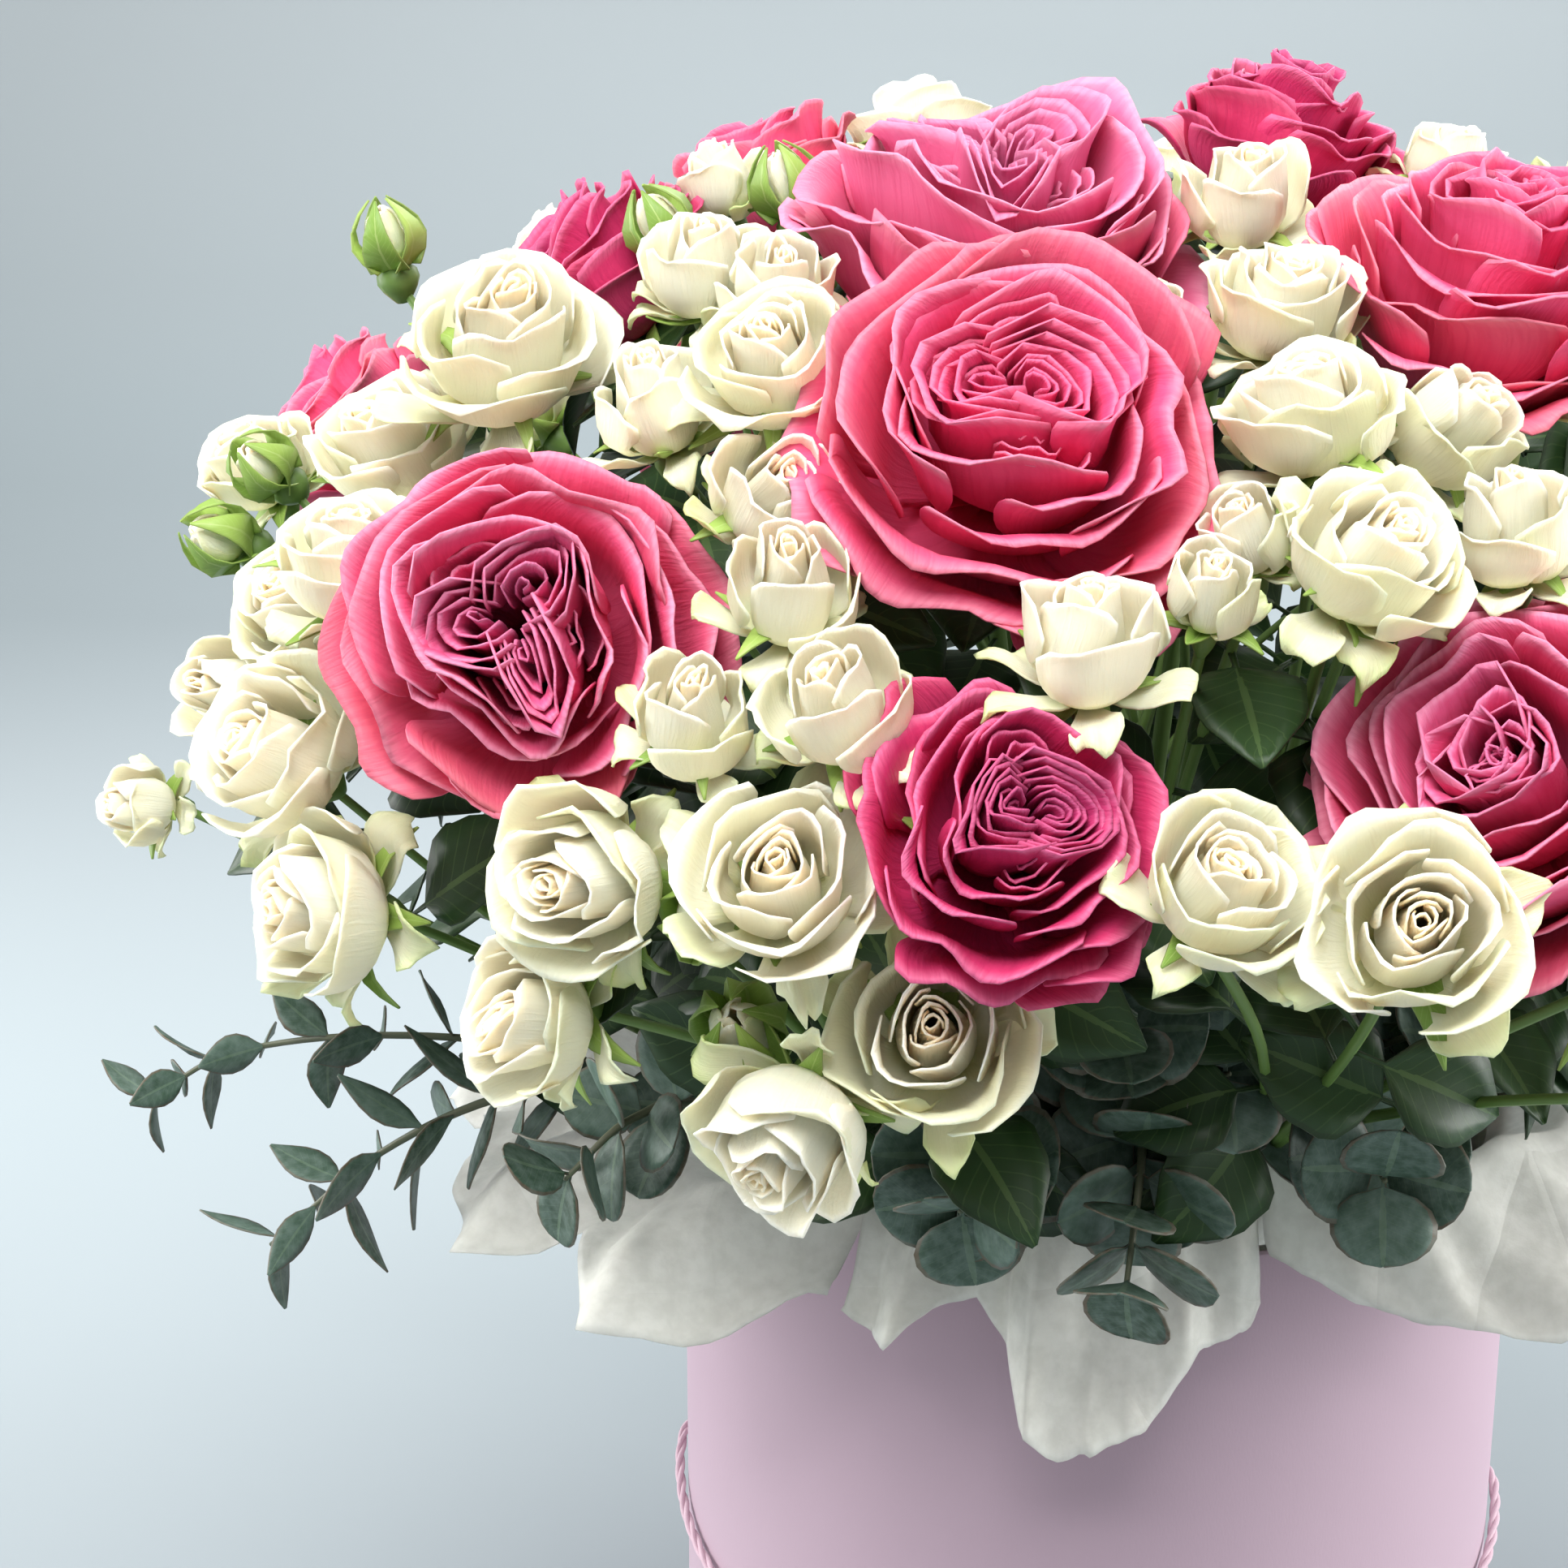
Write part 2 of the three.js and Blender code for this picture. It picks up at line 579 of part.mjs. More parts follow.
for (const bloom of blooms.filter((b) => b.garden)) {
  const name = `${bloom.name}_stem`;
  const seat = bloom.base.clone().addScaledVector(bloom.way, -3);
  const knee = seat.clone().addScaledVector(bloom.way, -30);
  const ray = knee.clone().sub(focus);
  const reach = ray.length();
  ray.normalize();
  const at = (distance) => focus.clone().addScaledVector(ray, distance);
  const bend = between(at(reach * 0.93), seat, 0.12);
  const points = [at(STEM_END), at(Math.max(122, reach * 0.7)), bend, seat];
  const extras = [toSolid(calyx(bloom.radius).applyMatrix4(bloom.frame))];
  const leaves = (LEAVES[name] ?? []).map(([azimuth, elevation, factor, width]) => {
    const tip = onDome(azimuth, elevation, factor);
    return leaf(nearestOn(points, tip), tip, width);
  });
  addStem(name, STEM_GREEN, [{ points, radius: ROSE_STEM, sides: 5 }], extras, leaves);
}

for (const name of Object.keys(SPRAYS)) {
  const own = blooms.filter((b) => b.name === name);
  const middle = own.reduce((sum, b) => sum.add(b.base), new THREE.Vector3()).divideScalar(own.length);
  const ray = middle.sub(focus);
  const reach = ray.length();
  ray.normalize();
  const at = (share) => focus.clone().addScaledVector(ray, reach * share);
  const rods = [{ points: [at(STEM_END / reach), at(0.66)], radius: SPRAY_STEM, sides: 5 }];
  own.forEach((bloom, k) => {
    const end = new THREE.Vector3(0.1, -0.22, 0.4).multiplyScalar(bloom.radius).applyMatrix4(bloom.frame);
    rods.push({ points: [at(0.52 + (0.12 * k) / own.length), end], radius: TWIG, sides: 3 });
  });
  addStem(name, SPRAY_WHITE, rods, [], []);
}

for (const [name, shoots] of Object.entries(GUM)) {
  const rods = [];
  const leaves = [];
  for (const { route, length, width, pairs } of shoots) {
    const way = route.map((p) => new THREE.Vector3(...p));
    const thick = rods.length === 0;
    const ray = way[0].clone().sub(focus).normalize();
    const start = thick
      ? focus.clone().addScaledVector(ray, STEM_END)
      : between(rods[0].points[0], rods[0].points[1], 0.72);
    rods.push({ points: [start, ...way], radius: thick ? SPRAY_STEM : TWIG, sides: 5 });
    const bend = new THREE.CatmullRomCurve3(way);
    for (let k = 0; k < pairs; k += 1) {
      const t = 0.12 + (0.84 * k) / Math.max(1, pairs - 1);
      const node = new Route(way).getPoint(t);
      const along = bend.getTangent(t);
      const flat = new THREE.Vector3().crossVectors(along, new THREE.Vector3(0, 0, 1)).normalize();
      const level = k % 2 ? new THREE.Vector3().crossVectors(flat, along).normalize() : flat;
      const size = 1 - 0.25 * (k / pairs);
      leaves.push(leafPair(node, along, level, length * size, width * size));
    }
  }
  addStem(name, GUM_GREEN, rods, [], leaves);
}

// Petals give way to the stems and to the blooms that stand further out.
const outermost = [...blooms].sort((a, b) => b.rise - a.rise);
outermost.forEach((bloom, rank) => {
  const own = bloom.garden ? `${bloom.name}_stem` : bloom.name;
  const rooms = stems.filter((s) => s.name !== own).map((s) => s.room);
  const others = outermost.filter((b) => b.name !== bloom.name);
  const ahead = outermost.slice(0, rank).filter((b) => b.name !== bloom.name).map((b) => b.space);
  let petals = cutBy(toSolid(bloomForm(bloom).applyMatrix4(bloom.frame)), [...rooms, ...ahead]);
  const guards = guardCount(bloom);
  for (let k = 0; k < guards; k += 1) {
    const guard = guardPetal(bloom.radius, ((k * 360) / guards + 35) * DEG).applyMatrix4(bloom.frame);
    petals = petals.add(cutBy(toSolid(guard), [...rooms, ...others.map((b) => b.space)]));
  }
  bloom.solid = largest(petals);
});

// Leaves give way to everything that is already in place.
const taken = [];
const paper = Object.values(SHEETS).map((form) => toSolid(tissueSheet(form, GAP)));
for (const stem of stems) {
  const rooms = stems.filter((s) => s !== stem).map((s) => s.room);
  const leafRooms = taken.filter((t) => t.name !== stem.name).map((t) => t.room);
  const keep = [...rooms, ...blooms.map((b) => b.space), ...leafRooms, ...paper];
  for (const { side, stations } of stem.leaves) {
    stem.solid = largest(stem.solid.add(cutBy(blade(stations, side), keep)));
    taken.push({ name: stem.name, room: blade(stations, side, GAP) });
  }
}

// The box, its base, the liner and the foam.
const tube = (inner, outer, low, high, sides) => turned(
  [[inner, low], [outer, low], [outer, high], [inner, high], [inner, low]], sides);

function cordPoint(azimuth, radius) {
  const arc = azimuth * DEG * BOX_RADIUS;
  const p = direction(azimuth, 0).multiplyScalar(radius);
  return p.setZ(CORD_LOW + CORD_DROOP * arc * arc);
}

const cordOut = BOX_RADIUS + CORD_RADIUS + GAP;
const cordRoute = [cordPoint(-CORD_HOLE_ANGLE, BOX_RADIUS - WALL - 3)];
for (let k = 0; k <= CORD_STEPS; k += 1) {
  const azimuth = CORD_HOLE_ANGLE * ((2 * k) / CORD_STEPS - 1);
  cordRoute.push(cordPoint(azimuth, cordOut));
}
cordRoute.push(cordPoint(CORD_HOLE_ANGLE, BOX_RADIUS - WALL - 3));

function cordHole(azimuth) {
  const ends = [cordPoint(azimuth, BOX_RADIUS - WALL - 4), cordPoint(azimuth, cordOut + 4)];
  return toSolid(rod(ends, CORD_RADIUS + 0.5, CORD_SIDES));
}

// A knot behind the wall, with the cord's end in it.
function knot(azimuth) {
  const centre = cordPoint(azimuth, BOX_RADIUS - WALL - 4.6);
  const ball = turned([[0, -4], [4, -2], [4, 2], [0, 4]], 8);
  return toSolid(ball.applyMatrix4(frame(centre, direction(azimuth, 0)))).subtract(cordHole(azimuth));
}

const cordSolid = toSolid(rod(cordRoute, CORD_RADIUS, CORD_SIDES));
const wallSolid = toSolid(tube(BOX_RADIUS - WALL, BOX_RADIUS, 0, BOX_HEIGHT, BOX_SIDES))
  .subtract(cordHole(-CORD_HOLE_ANGLE)).subtract(cordHole(CORD_HOLE_ANGLE));
const baseRadius = BOX_RADIUS - WALL - GAP;
const baseSolid = toSolid(turned([
  [0, 0], [baseRadius, 0], [baseRadius, BASE_THICKNESS], [0, BASE_THICKNESS],
], BOX_SIDES));
const linerFloor = BASE_THICKNESS + GAP;
const linerInside = LINER_RADIUS - LINER_WALL;
const linerSolid = toSolid(turned([
  [0, linerFloor], [LINER_RADIUS, linerFloor], [LINER_RADIUS, LINER_TOP], [linerInside, LINER_TOP],
  [linerInside, linerFloor + LINER_WALL], [0, linerFloor + LINER_WALL],
], FOAM_SIDES));
const foamFoot = linerFloor + LINER_WALL + GAP;
const foamRadius = linerInside - GAP;
const foamBlock = toSolid(turned([
  [0, foamFoot], [foamRadius, foamFoot], [foamRadius, FOAM_EDGE], [78, 254], [0, FOAM_TOP],
], FOAM_SIDES));
const foamSolid = stems.reduce((foam, s) => foam.subtract(s.hole), foamBlock);

// Tissue: up between liner and wall, over the rim, up to its fold and out to its free edge; grow
// makes the room that it keeps to itself.
function tissueSheet({ span, lift, edge }, grow = 0) {
  return sheet(edge.length - 1, 4, TISSUE + 2 * grow, (u, v) => {
    const share = (u + 1) / 2;
    const azimuth = span[0] + share * (span[1] - span[0]);
    const spot = share * (edge.length - 1);
    const k = Math.min(Math.floor(spot), edge.length - 2);
    const [far, low] = [0, 1].map((c) => edge[k][c] + (spot - k) * (edge[k + 1][c] - edge[k][c]));
    const ripple = 1.6 * Math.sin(azimuth * 0.32);
    const stations = [
      [115, 214], [117, TISSUE_RISE - 6.4], [127.5, TISSUE_RISE + 0.3 * ripple],
      [127 + 0.42 * (far - 127), TISSUE_RISE + lift + 2 * ripple], [far, low + ripple],
    ];
    const [r, z] = stations[Math.round(v * 4)];
    return direction(azimuth, 0).multiplyScalar(r).setZ(z);
  });
}

const hatBox = new THREE.Group();

function place(name, solid, finish) {
  const mesh = new THREE.Mesh(toGeometry(solid), new THREE.MeshStandardMaterial(finish));
  mesh.name = name;
  hatBox.add(mesh);
}

place("box_wall", wallSolid, BLUSH_CARD);
place("box_base", baseSolid, KRAFT);
place("liner", linerSolid, LINER_FILM);
place("foam", foamSolid, FOAM_GREEN);
place("cord", cordSolid, PINK_CORD);
place("cord_knot_left", knot(-CORD_HOLE_ANGLE), PINK_CORD);
place("cord_knot_right", knot(CORD_HOLE_ANGLE), PINK_CORD);
for (const [name, form] of Object.entries(SHEETS)) {
  place(name, toSolid(tissueSheet(form)), TISSUE_WHITE);
}
for (const bloom of blooms.filter((b) => b.garden)) place(bloom.name, bloom.solid, ROSE_PINK);
for (const stem of stems) {
  const own = blooms.filter((b) => b.name === stem.name);
  place(stem.name, largest(joinAll([stem.solid, ...own.map((b) => b.solid)])), stem.finish);
}

export default hatBox;
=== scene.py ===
"""The flower hat box, dressed: petals, leaves, tissue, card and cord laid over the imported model.

Metres, +Z up, origin at the centre of the box's flat base, the photographed side facing -Y.
Layout sizes are in millimetres, as in the part's source, and are scaled when a mesh is made.
"""

import logging
import math
from dataclasses import dataclass, field
from enum import Enum
from typing import Callable, Optional, Sequence

import bpy
import numpy as np
from mathutils import Matrix, Vector


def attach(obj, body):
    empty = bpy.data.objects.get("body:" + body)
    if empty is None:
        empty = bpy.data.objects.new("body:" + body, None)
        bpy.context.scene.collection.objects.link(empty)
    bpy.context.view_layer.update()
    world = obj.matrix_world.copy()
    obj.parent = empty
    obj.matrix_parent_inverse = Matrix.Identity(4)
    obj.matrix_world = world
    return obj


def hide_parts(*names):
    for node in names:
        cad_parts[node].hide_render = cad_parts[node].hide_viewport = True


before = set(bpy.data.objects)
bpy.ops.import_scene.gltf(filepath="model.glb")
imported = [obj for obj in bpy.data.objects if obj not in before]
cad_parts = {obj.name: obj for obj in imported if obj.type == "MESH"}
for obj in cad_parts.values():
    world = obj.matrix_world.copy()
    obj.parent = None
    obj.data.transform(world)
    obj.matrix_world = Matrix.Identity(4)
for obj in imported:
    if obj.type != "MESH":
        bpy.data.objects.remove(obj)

LOG = logging.getLogger("hat_box")
MM = 0.001
FULL_TURN = 2 * math.pi
GOLDEN_TURN = math.radians(137.5)
# Range that the phase of a petal's waves is drawn from, in radians.
PHASES = (0, 6.3)
# Outer radius of the card wall, on which the cord hangs.
BOX_RADIUS = 125
UP = np.array([0, 0, 1.0])

Colour = tuple[float, float, float]
Array = np.ndarray


class BloomKind(Enum):
    """The four forms of bloom in the box."""

    GARDEN = "garden rose"
    OPEN = "open spray rose"
    CUP = "half-open spray rose"
    BUD = "green bud"


class LeafKind(Enum):
    """The leaf outlines in the box."""

    ROSE = "toothed rose leaf"
    SILVER_DOLLAR = "round eucalyptus leaf"
    WILLOW = "narrow eucalyptus leaf"
    SEPAL = "sepal"


class Pink(Enum):
    """The pinks of the garden roses, by the names of their finishes."""

    ROSE = "rose"
    LILAC = "lilac"
    MAUVE = "mauve"
    MAGENTA = "magenta"


class MeshPart(Enum):
    """What can be selected in edit mode, by the name of its list in a mesh."""

    VERT = "vertices"
    EDGE = "edges"
    FACE = "polygons"


# Spray roses less open than this are buds, and from this diameter on they are wide open.
BUD_BELOW = 0.3
OPEN_FROM = 38
# Height along its axis of each kind of bloom, in bloom radii.
BLOOM_HEIGHTS = {BloomKind.GARDEN: 1.24, BloomKind.BUD: 2.3, BloomKind.OPEN: 1.34, BloomKind.CUP: 1.5}
# Faces across and along each kind of leaf.
LEAF_GRIDS = {LeafKind.ROSE: (4, 11), LeafKind.SILVER_DOLLAR: (6, 10), LeafKind.WILLOW: (4, 10),
              LeafKind.SEPAL: (2, 7)}
# Pink and number of hearts of the garden roses that the camera sees.
LOOKS: dict[str, tuple[Pink, int]] = {
    "rose_1": (Pink.ROSE, 2), "rose_2": (Pink.LILAC, 3), "rose_3": (Pink.MAUVE, 3),
    "rose_4": (Pink.MAGENTA, 2), "rose_5": (Pink.MAUVE, 1), "rose_6": (Pink.ROSE, 1),
    "rose_7": (Pink.MAGENTA, 1), "rose_8": (Pink.MAGENTA, 1), "rose_9": (Pink.ROSE, 1),
}
# Garden roses: azimuth and height angle on the dome, radius factor, diameter, azimuth and height
# angle that the bloom faces, turn about that axis.
ROSES: dict[str, tuple[float, ...]] = {
    "rose_1": (-1, 38.5, 0.98, 90, 12, 38, 10),
    "rose_2": (-17.5, 60.5, 0.97, 92, 3, 67, 40),
    "rose_3": (-32.5, 23, 0.99, 80, 3, 16, 75),
    "rose_4": (-2, 15, 1.01, 62, 16, 34, 20),
    "rose_5": (20, 19.5, 0.97, 84, -26, 37, 55),
    "rose_6": (31.5, 53, 1, 82, 20, 64, 0),
    "rose_7": (42, 76, 0.98, 60, 60, 70, 30),
    "rose_8": (-62.5, 52.5, 0.96, 62, -75, 50, 65),
    "rose_9": (-95, 65.5, 0.95, 56, -110, 62, 15),
    "rose_10": (-96, 27.5, 0.99, 58, -98, 36, 50),
    "rose_11": (62, 24, 0.98, 84, 60, 28, 5),
    "rose_12": (124, 30, 0.86, 94, 124, 34, 35),
    "rose_13": (-142, 30, 0.86, 94, -142, 34, 60),
}
# Spray roses: the same, with how far each bloom has opened in the last place; under 0.3 is a bud.
SPRAYS: dict[str, list[tuple[float, ...]]] = {
    "spray_1": [(-50.5, 41.5, 1.02, 50, 13, 54, 1), (-55.5, 35.5, 1, 42, -24, 56, 0.7),
                (-75, 46, 1.12, 17, -38, 75, 0.1)],
    "spray_2": [(-48.5, 25.5, 1.01, 44, 7, 70, 0.9), (-59, 18, 0.98, 38, -24, 40, 0.9),
                (-61, 13.5, 0.99, 34, -30, 21, 0.6), (-83.5, 25, 1.03, 38, -35, 60, 0.6),
                (-74.5, 27, 1.03, 17, -31, 37, 0.1), (-75.5, 20, 1.03, 18, -42, 23, 0.1)],
    "spray_3": [(-52, 8.5, 0.99, 48, -34, 36, 0.8), (-79, -5, 1.08, 28, -36, 15, 0.4),
                (-46.5, -0.5, 0.99, 46, -45, 15, 0.8)],
    "spray_4": [(-33, 41.5, 0.99, 34, -29, 71, 0.5), (-22.5, 44, 1.01, 39, -3, 52, 1),
                (-27.5, 53.5, 1, 31, 7, 70, 1), (-40.5, 53.5, 1, 34, -8, 70, 0.8),
                (-18.5, 47, 0.95, 26, 5, 52, 0.8)],
    "spray_5": [(-20, 36, 0.98, 34, 24, 47, 0.8), (-17, 29, 1, 34, 6, 57, 0.6),
                (-20.5, 20, 1.01, 32, 9, 59, 0.7), (-13.5, 22.5, 1.02, 35, -16, 56, 0.8)],
    "spray_6": [(-24.5, 8, 1.01, 43, -26, 6, 0.8), (-29, -3.5, 0.99, 38, -42, 8, 0.7),
                (-12, 11, 1.01, 43, 6, 40, 0.9), (-19.5, 6.5, 0.98, 17, 8, 36, 0.2)],
    "spray_7": [(-9, -2.5, 0.94, 44, 4, 30, 0.9), (-14, -7.5, 0.99, 43, -22, -29, 0.7),
                (-19, -4, 0.92, 20, -7, 38, 0.2)],
    "spray_8": [(-0.5, 24.5, 1.02, 36, 0, 72, 0.8), (5.5, 35, 0.99, 26, -29, 63, 0.4),
                (4, 29.5, 1.02, 25, 10, 60, 0.3)],
    "spray_9": [(12, 31, 1.01, 40, 39, 49, 0.9), (22.5, 31.5, 0.98, 34, -8, 75, 0.8),
                (11.5, 42, 1.01, 40, -26, 66, 0.9), (23, 39, 0.98, 35, 48, 42, 0.6)],
    "spray_10": [(15, 52.5, 0.99, 38, 14, 70, 0.5), (15.5, 65, 0.99, 34, -2, 69, 0.5),
                 (2, 54, 0.94, 24, 0, 50, 0.3), (58, 68, 1, 28, 60, 70, 0.5)],
    "spray_11": [(5, 12, 1.03, 38, 28, 46, 0.9), (10.5, 11.5, 1.04, 43, -3, 30, 1),
                 (27, 3, 1, 40, 30, 6, 0.8), (29, -4, 1.03, 34, 24, -10, 0.6)],
    "spray_12": [(-58.5, 62.5, 1.01, 27, -60, 72, 0.4), (-51.5, 56, 1.02, 16, -60, 60, 0.1),
                 (-48.5, 64, 1, 17, -50, 70, 0.1), (-112.5, 75.5, 0.97, 42, -140, 76, 0.8),
                 (-163, 77, 0.93, 42, 176, 72, 0.8), (100.5, 56.5, 1, 46, 100, 66, 0.8)],
    "spray_13": [(37, 39, 1, 42, 38, 46, 0.9), (41, 19, 1, 40, 44, 22, 0.8), (45, 3, 1, 44, 48, 4, 0.9),
                 (70, 4, 1, 42, 66, 0, 0.7)],
    "spray_14": [(92, 12, 0.97, 50, 92, 12, 0.9), (88, 32, 0.96, 50, 88, 36, 0.8),
                 (112, 4, 0.9, 46, 112, 0, 0.8), (112, 50, 0.92, 50, 112, 54, 0.9),
                 (84, 53, 0.96, 44, 82, 56, 0.8)],
    "spray_15": [(150, 10, 0.86, 50, 150, 10, 0.9), (164, 33, 0.86, 50, 164, 36, 0.8),
                 (176, 6, 0.86, 48, 176, 2, 0.9), (152, 56, 0.9, 50, 152, 62, 0.9),
                 (-168, 20, 0.86, 48, -168, 22, 0.8), (-160, 55, 0.9, 50, -162, 58, 0.8),
                 (-176, 42, 0.88, 50, -176, 44, 0.9), (176, 63, 0.92, 46, 178, 66, 0.8)],
    "spray_16": [(-146, 4, 0.86, 46, -146, 0, 0.8), (-117, 6, 0.92, 48, -116, 6, 0.9),
                 (-116, 27, 0.92, 44, -116, 28, 0.8), (-122, 49, 0.92, 50, -122, 52, 0.9),
                 (-138, 62, 0.94, 48, -138, 64, 0.8), (-88, 51, 0.96, 42, -92, 54, 0.8)],
}
# Leaves on the rose stems: the tip's place on the dome and the leaf's width.
LEAVES: dict[str, list[tuple[float, ...]]] = {
    "rose_1": [(-10, 27, 0.8, 24)], "rose_2": [(2, 52, 0.84, 22)],
    "rose_3": [(-37, 8, 0.86, 26), (-44, 13, 0.82, 22)],
    "rose_4": [(2, 4, 0.82, 22), (-12, 5, 0.78, 22)],
    "rose_5": [(24, 4, 0.86, 24), (10, 21, 0.8, 22)], "rose_6": [(33, 43, 0.84, 24)],
    "rose_10": [(-88, 12, 0.88, 26)], "rose_11": [(58, 6, 0.88, 24)],
    "rose_12": [(134, 12, 0.74, 28)], "rose_13": [(-132, 12, 0.74, 28)],
}
# Tissue sheets: azimuth span, height of the fold above the rim, then the radius and height of the
# free edge at equal azimuth steps.
SHEETS: dict[str, tuple[tuple[float, float], float, list[tuple[float, float]]]] = {
    "tissue_front": ((-23, 18.5), 18, [(164, 234), (161, 231), (170, 232), (158, 234), (149, 233), (143, 224),
                                       (164, 214), (163, 203), (160, 198), (161, 206), (155, 211), (155, 221),
                                       (148, 226), (147, 235), (140, 238)]),
    "tissue_right": ((19.5, 118), 27, [(140, 243), (176, 236), (188, 228), (178, 236), (184, 240),
                                       (202, 232), (178, 238), (186, 230)]),
    "tissue_back": ((119, 231), 14, [(184, 232), (172, 240), (200, 230), (180, 240), (204, 228),
                                     (178, 238), (194, 230), (182, 238)]),
    "tissue_left": ((-128, -24), 12, [(180, 238), (190, 234), (198, 229), (184, 236), (176, 240), (188, 238),
                                      (198, 232), (186, 239), (188, 241), (201, 236), (213, 231), (183, 242),
                                      (210, 230), (184, 229), (164, 236)]),
}


def direction(azimuth: float, elevation: float) -> Array:
    """The unit vector at an azimuth from the front and a height angle, both in degrees."""
    a, e = math.radians(azimuth), math.radians(elevation)
    return np.array([math.sin(a) * math.cos(e), -math.cos(a) * math.cos(e), math.sin(e)])


def unit(vector: Array) -> Array:
    """The vector at length one."""
    return vector / max(float(np.linalg.norm(vector)), 1e-9)


@dataclass(frozen=True)
class Dome:
    """The low dome that the flowers stand on, and the point that all stems aim at.

    Args:
        radius: Half width of the dome in millimetres.
        height: Half height of the dome in millimetres.
        centre: Height of its centre in millimetres.
        focus: Height on the axis that the stems point at.
        stem_end: How far from that point the stems end.
        press: Share of their radii at which neighbouring blooms stop pressing each other apart.
        rounds: How often all blooms press each other.
        step: Share of an overlap by which each of two blooms gives way in a round.
    """

    radius: float = 262
    height: float = 180
    centre: float = 352
    focus: float = 175
    stem_end: float = 66
    press: float = 0.92
    rounds: int = 24
    step: float = 0.25

    def point(self, azimuth: float, elevation: float, factor: float) -> Array:
        """The place on the dome at an azimuth, a height angle and a radius factor."""
        n = direction(azimuth, elevation) * factor
        return np.array([n[0] * self.radius, n[1] * self.radius, n[2] * self.height + self.centre])

    @property
    def aim(self) -> Array:
        """The point that every stem aims at."""
        return np.array([0.0, 0.0, self.focus])


DOME = Dome()


@dataclass
class Bloom:
    """One bloom: the stem it belongs to, its place, its axis and its size in millimetres."""

    stem: str
    kind: BloomKind
    centre: Array
    way: Array
    radius: float
    turn: float
    opening: float
    index: int = 0

    @classmethod
    def placed(cls, stem: str, place: Sequence[float], garden: bool, index: int) -> "Bloom":
        """Makes a bloom from a line of the layout.

        Args:
            stem: Name of the rose or spray.
            place: The line's seven numbers.
            garden: True for a garden rose.
            index: Number of the bloom in the whole box.

        Returns:
            The bloom, not yet pressed clear of its neighbours.
        """
        azimuth, elevation, factor, diameter, face_azimuth, face_elevation, last = place
        if garden:
            kind = BloomKind.GARDEN
        elif last < BUD_BELOW:
            kind = BloomKind.BUD
        else:
            kind = BloomKind.OPEN if diameter >= OPEN_FROM else BloomKind.CUP
        return cls(stem, kind, DOME.point(azimuth, elevation, factor),
                   direction(face_azimuth, face_elevation), diameter / 2,
                   math.radians(last if garden else azimuth * 7), 1.0 if garden else last, index)

    @property
    def height(self) -> float:
        """Height of the bloom along its axis."""
        return BLOOM_HEIGHTS[self.kind] * self.radius

    @property
    def base(self) -> Array:
        """The foot of the bloom, where its stem ends."""
        return self.centre - 0.5 * self.height * self.way

    @property
    def axes(self) -> Array:
        """Rotation that stands the bloom's own Z axis along its way."""
        lean = Vector((0, 0, 1)).rotation_difference(Vector(self.way)).to_matrix()
        return np.array(lean @ Matrix.Rotation(self.turn, 3, "Z"))

    def set_out(self, points: Array) -> Array:
        """Places points given in the bloom's own frame.

        Args:
            points: Points in bloom radii.

        Returns:
            The points in millimetres in the box's frame.
        """
        return points * self.radius @ self.axes.T + self.base


def grow_blooms() -> list[Bloom]:
    """Places all blooms and lets them press each other apart until they only touch.

    Returns:
        The blooms in the layout's order.
    """
    places = [(name, place, True) for name, place in ROSES.items()]
    places += [(name, place, False) for name, lines in SPRAYS.items() for place in lines]
    blooms = [Bloom.placed(name, place, garden, k) for k, (name, place, garden) in enumerate(places)]
    for _ in range(DOME.rounds):
        for i, one in enumerate(blooms):
            for other in blooms[i + 1:]:
                apart = other.centre - one.centre
                short = DOME.press * (one.radius + other.radius) - float(np.linalg.norm(apart))
                if short > 0:
                    step = unit(apart) * short * DOME.step
                    one.centre = one.centre - step
                    other.centre = other.centre + step
    return blooms


class Grid:
    """A flat grid drawn once as a primitive, whose copies are shaped into petals and leaves."""

    _drawn: dict[tuple[int, int], "Grid"] = {}

    def __init__(self, across: int, along: int) -> None:
        """Draws the grid.

        Args:
            across: Faces from side to side.
            along: Faces from foot to tip.
        """
        bpy.ops.object.select_all(action="DESELECT")
        bpy.ops.mesh.primitive_grid_add(x_subdivisions=across, y_subdivisions=along, size=2)
        piece = bpy.context.object
        mesh = piece.data
        flat = np.zeros(len(mesh.vertices) * 3)
        mesh.vertices.foreach_get("co", flat)
        flat = flat.reshape(-1, 3)
        self.u: Array = flat[:, 0]
        self.v: Array = 0.5 * (flat[:, 1] + 1)
        self.faces: Array = np.array([tuple(p.vertices) for p in mesh.polygons])
        bpy.data.objects.remove(piece)
        bpy.data.meshes.remove(mesh)

    @classmethod
    def of(cls, across: int, along: int) -> "Grid":
        """The grid of that many faces, drawn the first time it is asked for."""
        key = (across, along)
        if key not in cls._drawn:
            cls._drawn[key] = cls(across, along)
        return cls._drawn[key]


